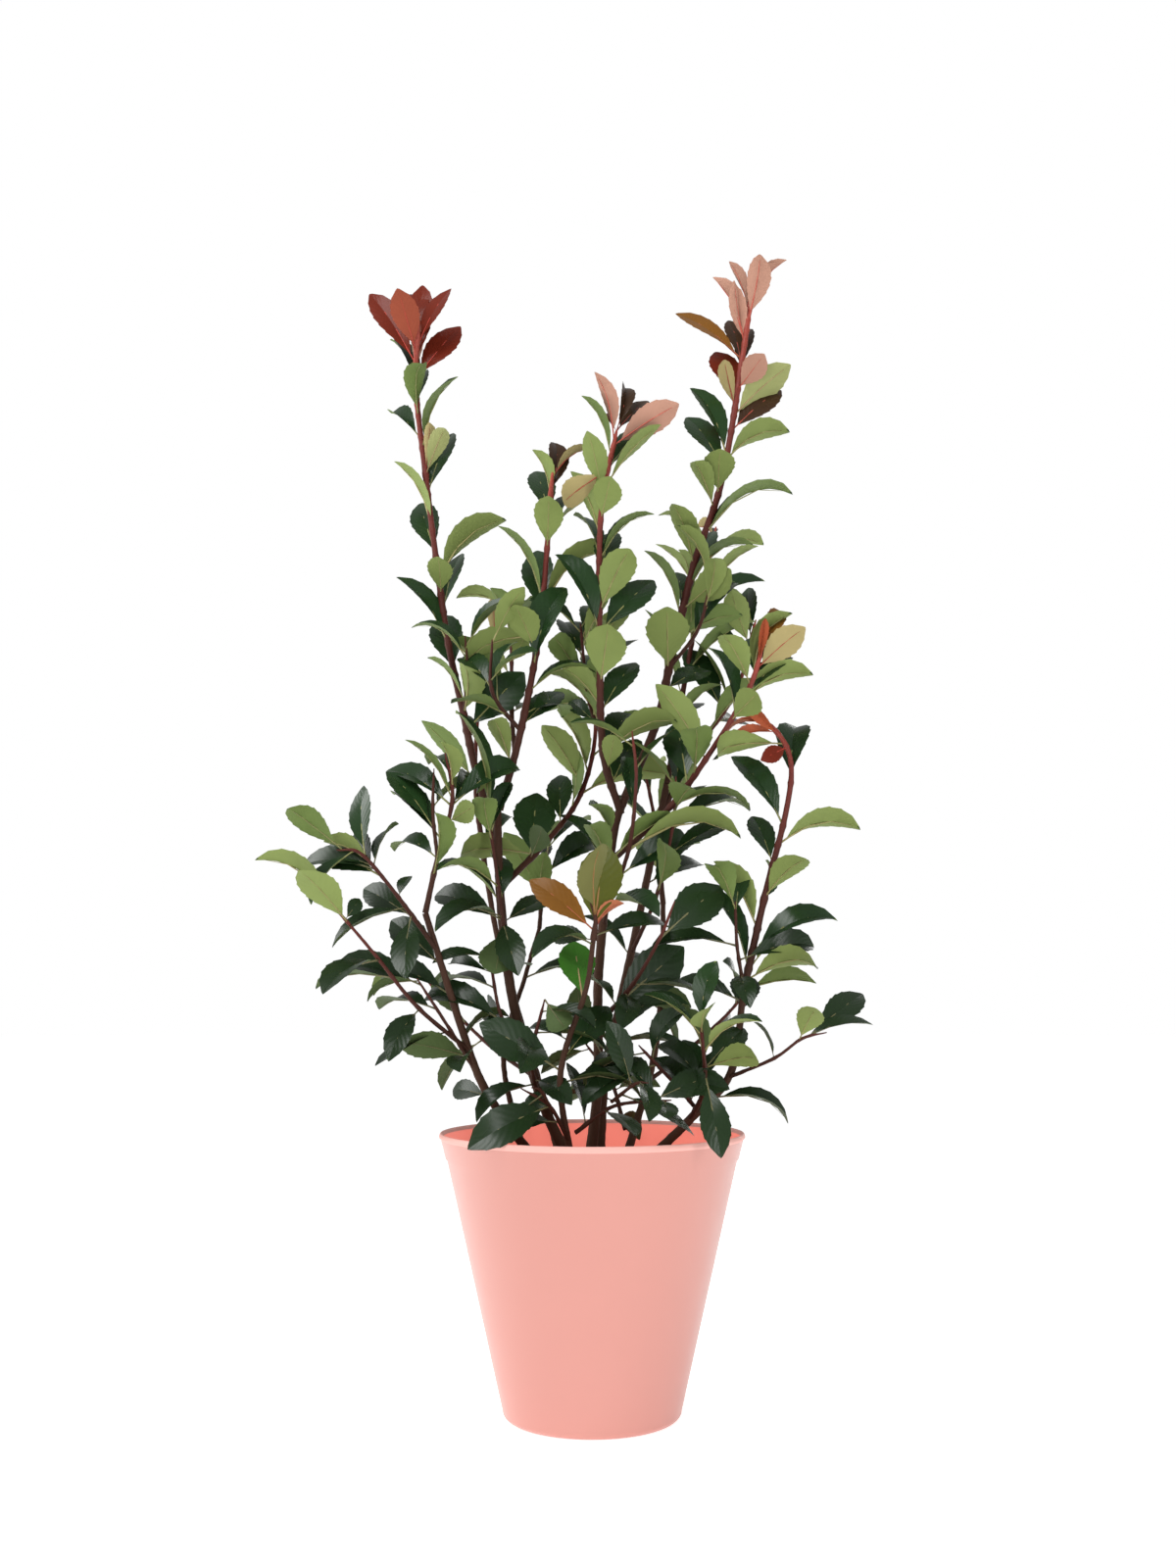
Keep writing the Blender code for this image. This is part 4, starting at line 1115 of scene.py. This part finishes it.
PIXEL_AT_AXIS = 0.001
GROWN_LENGTH = 0.088
YOUNG_LENGTH = 0.066
YOUNG_SPARE = 1.02
SMALL_LENGTH = 0.034
SMALL_SPARE = 1.25
SMALLEST = 0.030
SHORT_LENGTH = 0.050
SHORT_SPARE = 1.20
SHORTEST = 0.062
GREATEST_LEAN = 0.055
EDGE_ON = (60, 130)
EDGE_LEAN = 0.020
WIDTH_GAIN = 1.12
WIDTH_SHARE = (0.16, 0.56)
FOLD_SEEN = 0.75
eye = Vector((CAMERA_SIDE, -CAMERA_BACK, CAMERA_HEIGHT))


def pixel_of(point):
    """Where a point shows in the photograph's frame, as (column, row)."""
    x, y, z = point - eye
    deep = y * math.cos(CAMERA_PITCH) + z * math.sin(CAMERA_PITCH)
    up = z * math.cos(CAMERA_PITCH) - y * math.sin(CAMERA_PITCH)
    return PHOTO_WIDTH / 2 + FOCAL_PIXELS * x / deep, PHOTO_HEIGHT / 2 - FOCAL_PIXELS * up / deep


def behind_pixel(column, row, y):
    """The point at depth y that shows at a pixel."""
    aside = (column - PHOTO_WIDTH / 2) / FOCAL_PIXELS
    up = (PHOTO_HEIGHT / 2 - row) / FOCAL_PIXELS
    view = Vector((aside, math.cos(CAMERA_PITCH) - up * math.sin(CAMERA_PITCH),
                   math.sin(CAMERA_PITCH) + up * math.cos(CAMERA_PITCH)))
    return eye + view * ((y - eye.y) / view.y)


def lean_of_tip(seen, kind, roll, rises, note):
    """How far a leaf's tip stands behind its foot, from how long the leaf looks."""
    if note.lstrip("-").isdigit():
        return int(note) / PER_METRE
    length = GROWN_LENGTH
    if kind in YOUNG_KINDS:
        length = max(seen * YOUNG_SPARE, YOUNG_LENGTH)
    if seen < SMALL_LENGTH:
        length = max(seen * SMALL_SPARE, SMALLEST)
    elif seen < SHORT_LENGTH:
        length = max(seen * SHORT_SPARE, SHORTEST)
    lean = min(math.sqrt(max(0.0, length ** 2 - seen ** 2)), GREATEST_LEAN)
    if EDGE_ON[0] < abs(roll) < EDGE_ON[1]:
        lean = 0.0 if seen > SHORT_LENGTH else min(lean, EDGE_LEAN)
    if kind == "copper":
        lean = 0.0
    if note:
        return lean if note == "far" else -lean
    return lean if rises and abs(roll) < EDGE_ON[1] else -lean


def measured_leaf(path, lengths, row):
    """A leaf on a limb whose foot and tip show at the pixels of its row."""
    *numbers, kind, blade = row.split()[:8]
    note = "".join(row.split()[8:])
    column, line, tip_column, tip_line, roll, wide = map(float, numbers)
    blade = int(blade)
    nearest = min(range(len(path)), key=lambda k: math.dist(pixel_of(path[k]), (column, line)))
    place = path[nearest]
    seen = (behind_pixel(tip_column, tip_line, place.y) - place).length
    lean = lean_of_tip(seen, kind, roll, tip_line < line, note)
    tip_y = max(cad_box[0][1], min(cad_box[1][1], place.y + lean))
    reach = behind_pixel(tip_column, tip_line, tip_y) - place
    axis = reach.normalized()
    facing = Matrix.Rotation(math.radians(roll), 3, axis) @ square_to(axis, TOWARD_VIEW)
    end = blade_point(1.0, 0.0, *BLADES[blade])
    droop = math.atan2(-end.z, end.y)
    heading = axis * math.cos(droop) + facing * math.sin(droop)
    upper = facing * math.cos(droop) - axis * math.sin(droop)
    size = reach.length / end.length
    width = wide * PIXEL_AT_AXIS * (CAMERA_BACK + place.y) / CAMERA_BACK
    width = max(WIDTH_SHARE[0] * reach.length, min(WIDTH_SHARE[1] * reach.length, width))
    flat_share = math.cos(math.radians(BLADES[blade][1] * FOLD_SEEN))
    broad = WIDTH_GAIN * width / (BLADES[blade][0] * flat_share)
    return kind, place, tuple(leaf_turn(heading, upper)), (broad, size, size), blade, lengths[nearest]


def measured_leaves(name, path, lengths):
    """All the leaves of one limb that were read off the photograph."""
    rows = MEASURED_LEAVES.get(name, "").strip().splitlines()
    return [measured_leaf(path, lengths, row) for row in rows]


# The wood. Each stem or shoot is one tapering limb, a stem flared at its foot and a shoot
# thickened at every leaf joint and closed to a fine tip, with rough brown bark below and
# smooth young bark, purple brown and then red, towards the tip.
GROUND = SOIL_TOP - 0.002
FLARE_HEIGHT = 0.012
FLARE_GAIN = 0.7
STEM_AGE = 0.25
SHOOT_AGE_LENGTH = 0.28
KNUCKLE_REACH = 0.003
KNUCKLE_GAIN = 0.22
TIP_SHARE = 0.45
TIP_LENGTH = 0.03
WOOD_SIDES = 12
WOOD_RELIEF = 0.0016
ROUGHEST = 1.1
BARK_PATCHES = 0.16
WOOD_GRAIN = 330.0
WELD = 0.00001
wood_lines = {"places": [], "joins": [], "thickness": [], "age": []}
grown = {}


def add_limb(path, radii, ages):
    """Adds one limb to the wire frame that the wood is grown on."""
    start = len(wood_lines["places"])
    wood_lines["places"] += path
    wood_lines["joins"] += [(start + k, start + k + 1) for k in range(len(path) - 1)]
    wood_lines["thickness"] += radii
    wood_lines["age"] += ages


for name, (points, foot, top) in STEMS.items():
    x, y = points[0][0] / PER_METRE, points[0][1] / PER_METRE
    foot, top = foot / PER_METRE, top / PER_METRE
    path = [Vector((x, y, GROUND))] + smooth_path(points, LIMB_STEP)
    lengths = lengths_along(path)
    radii = []
    for at in lengths:
        flare = FLARE_GAIN * math.exp(-at / FLARE_HEIGHT)
        radii.append((foot + (top - foot) * at / lengths[-1]) * (1 + flare))
    add_limb(path, radii, [STEM_AGE * at / lengths[-1] for at in lengths])
    grown[name] = measured_leaves(name, path, lengths)

for name, shoot in SHOOTS.items():
    foot, tip = shoot[1] / PER_METRE, shoot[2] / PER_METRE
    path = smooth_path(shoot[0], LIMB_STEP)
    lengths = lengths_along(path)
    measured = measured_leaves(name, path, lengths)
    taken = [leaf[5] for leaf in measured]
    grown[name] = leaves_of(name, shoot, path, lengths, taken) + measured
    joints = [leaf[5] for leaf in grown[name]]
    radii = []
    for at in lengths:
        knuckle = sum(math.exp(-((at - joint) / KNUCKLE_REACH) ** 2) for joint in joints)
        closing = min(1.0, TIP_SHARE + (lengths[-1] - at) / TIP_LENGTH)
        swelling = 1 + min(KNUCKLE_GAIN, KNUCKLE_GAIN * knuckle)
        radii.append((foot + (tip - foot) * at / lengths[-1]) * closing * swelling)
    youngest = max(lengths[-1], SHOOT_AGE_LENGTH)
    add_limb(path, radii, [STEM_AGE + (1 - STEM_AGE) * at / youngest for at in lengths])

wood_wire = bpy.data.meshes.new("wood_wire")
wood_wire.from_pydata(wood_lines["places"], wood_lines["joins"], [])
for label in ("thickness", "age"):
    numbers = wood_wire.attributes.new(label, "FLOAT", "POINT")
    numbers.data.foreach_set("value", wood_lines[label])

bark_finish = Finish("limb_bark", (0.08, 0.035, 0.028), 0.6, Specular_IOR_Level=0.15)
age = bark_finish.node("Attribute", {"attribute_name": "age"}, output="Fac")
bark_grain = bark_finish.noise(420.0, 5.0)
bark_finish.shade(age + bark_grain * BARK_PATCHES - BARK_PATCHES / 2,
                  (0.0, (0.060, 0.030, 0.017)), (0.30, (0.046, 0.018, 0.011)),
                  (0.55, (0.064, 0.017, 0.012)), (0.80, (0.130, 0.026, 0.020)),
                  (1.0, (0.32, 0.060, 0.042)))
bark_finish.feed("Roughness", 0.72 - age * 0.34)
bark_finish.bump(bark_grain, 0.35, 0.0008)

wood_tree = Tree("barked_limbs", Sides="Int", Relief="Float", Grain="Float", Material="Material")
wood_in = wood_tree.given
section = wood_tree.add("GeometryNodeCurvePrimitiveCircle", inputs={
    "Resolution": wood_in["Sides"], "Radius": 1.0})
lines = wood_tree.add("GeometryNodeMeshToCurve", inputs={"Mesh": wood_in["Geometry"]})
thick = wood_tree.named("thickness", "FLOAT")
tubes = wood_tree.add("GeometryNodeCurveToMesh", inputs={
    "Curve": lines, "Profile Curve": section, "Scale": thick, "Fill Caps": True})
welded = wood_tree.add("GeometryNodeMergeByDistance", inputs={"Geometry": tubes, "Distance": WELD})
ridges = wood_tree.add("ShaderNodeTexNoise", inputs={"Scale": wood_in["Grain"], "Detail": 3.0})
centred = wood_tree.math("SUBTRACT", ridges, 0.5)
old = wood_tree.math("SUBTRACT", ROUGHEST, wood_tree.named("age", "FLOAT"))
rough = wood_tree.math("MULTIPLY", centred, old)
relief = wood_tree.math("MULTIPLY", rough, wood_in["Relief"])
outwards = wood_tree.add("GeometryNodeInputNormal")
push = wood_tree.add("ShaderNodeVectorMath", {"operation": "SCALE"}, {0: outwards, "Scale": relief})
barked = wood_tree.moved(welded, push)
smooth = wood_tree.add("GeometryNodeSetShadeSmooth", inputs={"Geometry": barked})
wood_tree.end(wood_tree.dress(wood_tree.real(smooth), wood_in["Material"]))

wood_mesh = wood_tree.run(scratch_object("wood_guide", wood_wire), Sides=WOOD_SIDES,
                          Relief=WOOD_RELIEF, Grain=WOOD_GRAIN, Material=bark_finish.material)
wood = add_piece("stems_and_shoots", wood_mesh, "bark")
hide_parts(*[node for node in frame["nodes"] if node.startswith(("stem_", "bough_"))])

# The leaves' shape and skin. A blade of a few faces with eight teeth on a side, a
# stalk that runs on as the midrib, dark and glossy above, pale below, and red,
# bronze or pink while it is young.
TEETH = 8
TOOTH_LEAN = 0.80
TOOTH_BULGE = 1.03
NOTCH_ACROSS = 0.96
INNER_ACROSS = 0.52
LEAF_THICKNESS = 0.006
RIB_DEPTH = 0.4
VEINS = 58.0
VEIN_SLANT = 0.55
VEIN_DEPTH = 0.0005
YOUNG_GLOSS = 0.4
MOTTLE_PATCHES = 24.0
MOTTLE_DARK = 0.86
MOTTLE_LIGHT = 1.15
WAX_PLAY = 0.12

# Skins of a leaf's three parts: roughness, specular level, strength of the veins
LEAF_SKINS = {"upper": (0.27, 0.26, 0.12), "under": (0.60, 0.16, 0.10), "stalk": (0.45, 0.25, 0.05)}

# The stalk and midrib: stations along the leaf and the radius at each
RIB = [(-STALK, 0.018), (-STALK * 0.4, 0.014), (0.04, 0.014), (0.32, 0.011), (0.62, 0.008), (0.90, 0.003)]

# Kinds of leaf: upper side, under side, stalk and midrib
LEAF_COLOURS = {
    "deep": ((0.0125, 0.0340, 0.0095), (0.125, 0.178, 0.048), (0.22, 0.22, 0.08)),
    "mid": ((0.0140, 0.0380, 0.0095), (0.185, 0.235, 0.068), (0.28, 0.25, 0.10)),
    "fresh": ((0.035, 0.125, 0.014), (0.270, 0.290, 0.110), (0.34, 0.24, 0.12)),
    # low is a darker copy of deep, darkest on its underside: painted shade for the leaves low in the shrub
    "low": ((0.0115, 0.0260, 0.0085), (0.060, 0.092, 0.030), (0.14, 0.13, 0.06)),
    "olive": ((0.070, 0.078, 0.013), (0.15, 0.15, 0.05), (0.26, 0.14, 0.05)),
    "amber": ((0.170, 0.072, 0.013), (0.36, 0.20, 0.08), (0.34, 0.09, 0.04)),
    "bronze": ((0.040, 0.020, 0.010), (0.33, 0.27, 0.12), (0.33, 0.06, 0.04)),
    "copper": ((0.33, 0.080, 0.035), (0.40, 0.14, 0.07), (0.40, 0.06, 0.04)),
    "red": ((0.125, 0.017, 0.008), (0.26, 0.060, 0.032), (0.42, 0.05, 0.035)),
    "pink": ((0.100, 0.022, 0.014), (0.40, 0.215, 0.155), (0.50, 0.10, 0.07)),
}


def leaf_blade(name, width, fold, arch, twist, curl):
    """One leaf of blade length 1 along +Y: part 0 its top, 1 its underside, 2 its stalk."""
    shape = bmesh.new()
    part = shape.faces.layers.int.new("part")
    uv = shape.loops.layers.uv.new("leaf")
    where = {}

    def vert(t, across, lift=0.0, bulge=1.0):
        point = shape.verts.new(blade_point(t, across * bulge, width, fold, arch, twist, curl, lift))
        where[point] = (0.5 + 0.5 * across, t)
        return point

    def row(across, lift=0.0):
        return [base] + [vert(j / TEETH, across, lift) for j in range(1, TEETH)] + [apex]

    def face(corners, number):
        ring = [corner for k, corner in enumerate(corners) if corner not in corners[:k]]
        if len(ring) < 3:
            return
        made = shape.faces.new(ring)
        made[part] = number
        made.smooth = True
        for loop in made.loops:
            loop[uv].uv = where[loop.vert]

    base = vert(0.0, 0.0)
    apex = vert(1.0, 0.0)
    mids = row(0.0)
    unders = row(0.0, -LEAF_THICKNESS)
    for sign in (-1, 1):
        inner = row(sign * INNER_ACROSS)
        notches = row(sign * NOTCH_ACROSS)
        tips = [vert((j + TOOTH_LEAN) / TEETH, sign * 1.0, 0.0, TOOTH_BULGE) for j in range(TEETH)]
        for j in range(TEETH):
            fan = [
                ([mids[j], mids[j + 1], inner[j + 1], inner[j]], 0),
                ([inner[j], tips[j], notches[j]], 0),
                ([inner[j], inner[j + 1], notches[j + 1], tips[j]], 0),
                ([unders[j], notches[j], tips[j]], 1),
                ([unders[j], tips[j], notches[j + 1], unders[j + 1]], 1),
            ]
            for corners, number in fan:
                face(corners if sign > 0 else corners[::-1], number)
    rings = []
    for at, thick in RIB:
        middle = Vector((0.0, STALK + at, 0.0))
        if at > 0:
            middle = blade_point(at, 0.0, width, fold, arch, twist, curl, -LEAF_THICKNESS * RIB_DEPTH)
        ring = []
        for k in range(3):
            turn = math.tau * k / 3 - math.pi / 2
            ring.append(shape.verts.new(middle + Vector((math.cos(turn), 0.0, math.sin(turn))) * thick))
            where[ring[-1]] = (0.5, max(0.0, at))
        rings.append(ring)
    for low, high in zip(rings, rings[1:]):
        for k in range(3):
            n = (k + 1) % 3
            face([low[k], low[n], high[n], high[k]], 2)
    face(rings[0][::-1], 2)
    face(rings[-1], 2)
    bmesh.ops.recalc_face_normals(shape, faces=shape.faces)
    for edge in shape.edges:
        parts_met = {made[part] for made in edge.link_faces}
        if parts_met == {0, 1} or (edge.verts[0] in mids and edge.verts[1] in mids):
            edge.smooth = False
    return mesh_of(name, shape)


def leaf_finish(name, colour, roughness, specular, vein):
    """A waxy leaf skin with its side veins as a fine relief."""
    finish = Finish(name, colour, roughness, Specular_IOR_Level=specular)
    mottle = finish.noise(MOTTLE_PATCHES)
    darker = tuple(MOTTLE_DARK * c for c in colour)
    lighter = tuple(min(1.0, MOTTLE_LIGHT * c) for c in colour)
    finish.cloud(mottle, darker, lighter)
    finish.feed("Roughness", mottle * WAX_PLAY + (roughness - WAX_PLAY / 2))
    chart = finish.node("UVMap", {"uv_map": "leaf"})
    across = finish.node("SeparateXYZ", inputs={0: chart}, output="X")
    upwards = finish.node("SeparateXYZ", inputs={0: chart}, output="Y")
    aside = across.math("ABSOLUTE", across - 0.5)
    stripe = across.math("SINE", (upwards - aside * VEIN_SLANT) * VEINS)
    finish.bump(stripe * 0.5, vein, VEIN_DEPTH)
    return finish.material


leaf_tree = Tree("leaves_on_joints", Blades="Collection", Upper="Material", Under="Material",
                 Stalk="Material")
leaf_in = leaf_tree.given
shelf = leaf_tree.add("GeometryNodeCollectionInfo", inputs={
    "Collection": leaf_in["Blades"], "Separate Children": True, "Reset Children": True})
hung = leaf_tree.add("GeometryNodeInstanceOnPoints", inputs={
    "Points": leaf_in["Geometry"], "Instance": shelf, "Pick Instance": True,
    "Instance Index": leaf_tree.named("blade", "INT"), "Rotation": leaf_tree.named("turn", "FLOAT_VECTOR"),
    "Scale": leaf_tree.named("size", "FLOAT_VECTOR")})
leaves_real = leaf_tree.real(hung)
leaf_part = leaf_tree.named("part", "INT")
dressed = leaf_tree.dress(leaves_real, leaf_in["Upper"])
for number, label in ((1, "Under"), (2, "Stalk")):
    same = leaf_tree.add("FunctionNodeCompare", {"data_type": "INT", "operation": "EQUAL"}, {
        2: leaf_part, 3: number})
    dressed = leaf_tree.dress(dressed, leaf_in[label], Selection=same)
leaf_tree.end(dressed)

blade_shelf = bpy.data.collections.new("blade_shelf")
scene.collection.children.link(blade_shelf)
for number, blade in enumerate(BLADES):
    blade_name = "blade_%d" % number
    blade_shelf.objects.link(bpy.data.objects.new(blade_name, leaf_blade(blade_name, *blade)))

mass_nodes = {}
for *_, bands, masses in SHOOTS.values():
    kinds = [BAND_STYLE[label][0] for label, end in bands]
    for number, node in enumerate(masses):
        mass_nodes.setdefault(kinds[0] if number == 0 else kinds[-1], []).append(node)

for kind, colours in LEAF_COLOURS.items():
    leaves = [leaf[1:5] for limb_leaves in grown.values() for leaf in limb_leaves if leaf[0] == kind]
    spots = bpy.data.meshes.new("spots_" + kind)
    spots.from_pydata([leaf[0] for leaf in leaves], [], [])
    for label, index in (("turn", 1), ("size", 2)):
        numbers = spots.attributes.new(label, "FLOAT_VECTOR", "POINT")
        numbers.data.foreach_set("vector", [value for leaf in leaves for value in leaf[index]])
    numbers = spots.attributes.new("blade", "INT", "POINT")
    numbers.data.foreach_set("value", [leaf[3] for leaf in leaves])
    skins = {}
    for (label, (roughness, specular, vein)), colour in zip(LEAF_SKINS.items(), colours):
        if kind in YOUNG_KINDS and label != "stalk":
            specular *= YOUNG_GLOSS
        skin_name = "%s_leaf_%s" % (kind, label)
        skins[label.capitalize()] = leaf_finish(skin_name, colour, roughness, specular, vein)
    mesh = leaf_tree.run(scratch_object("spots_" + kind, spots), Blades=blade_shelf, **skins)
    piece = add_piece("leaves_" + kind, mesh, "young_leaf" if kind in YOUNG_KINDS else "leaf")
    if kind in mass_nodes:
        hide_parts(*mass_nodes[kind])
for blade_object in list(blade_shelf.objects):
    bpy.data.objects.remove(blade_object)
bpy.data.collections.remove(blade_shelf)
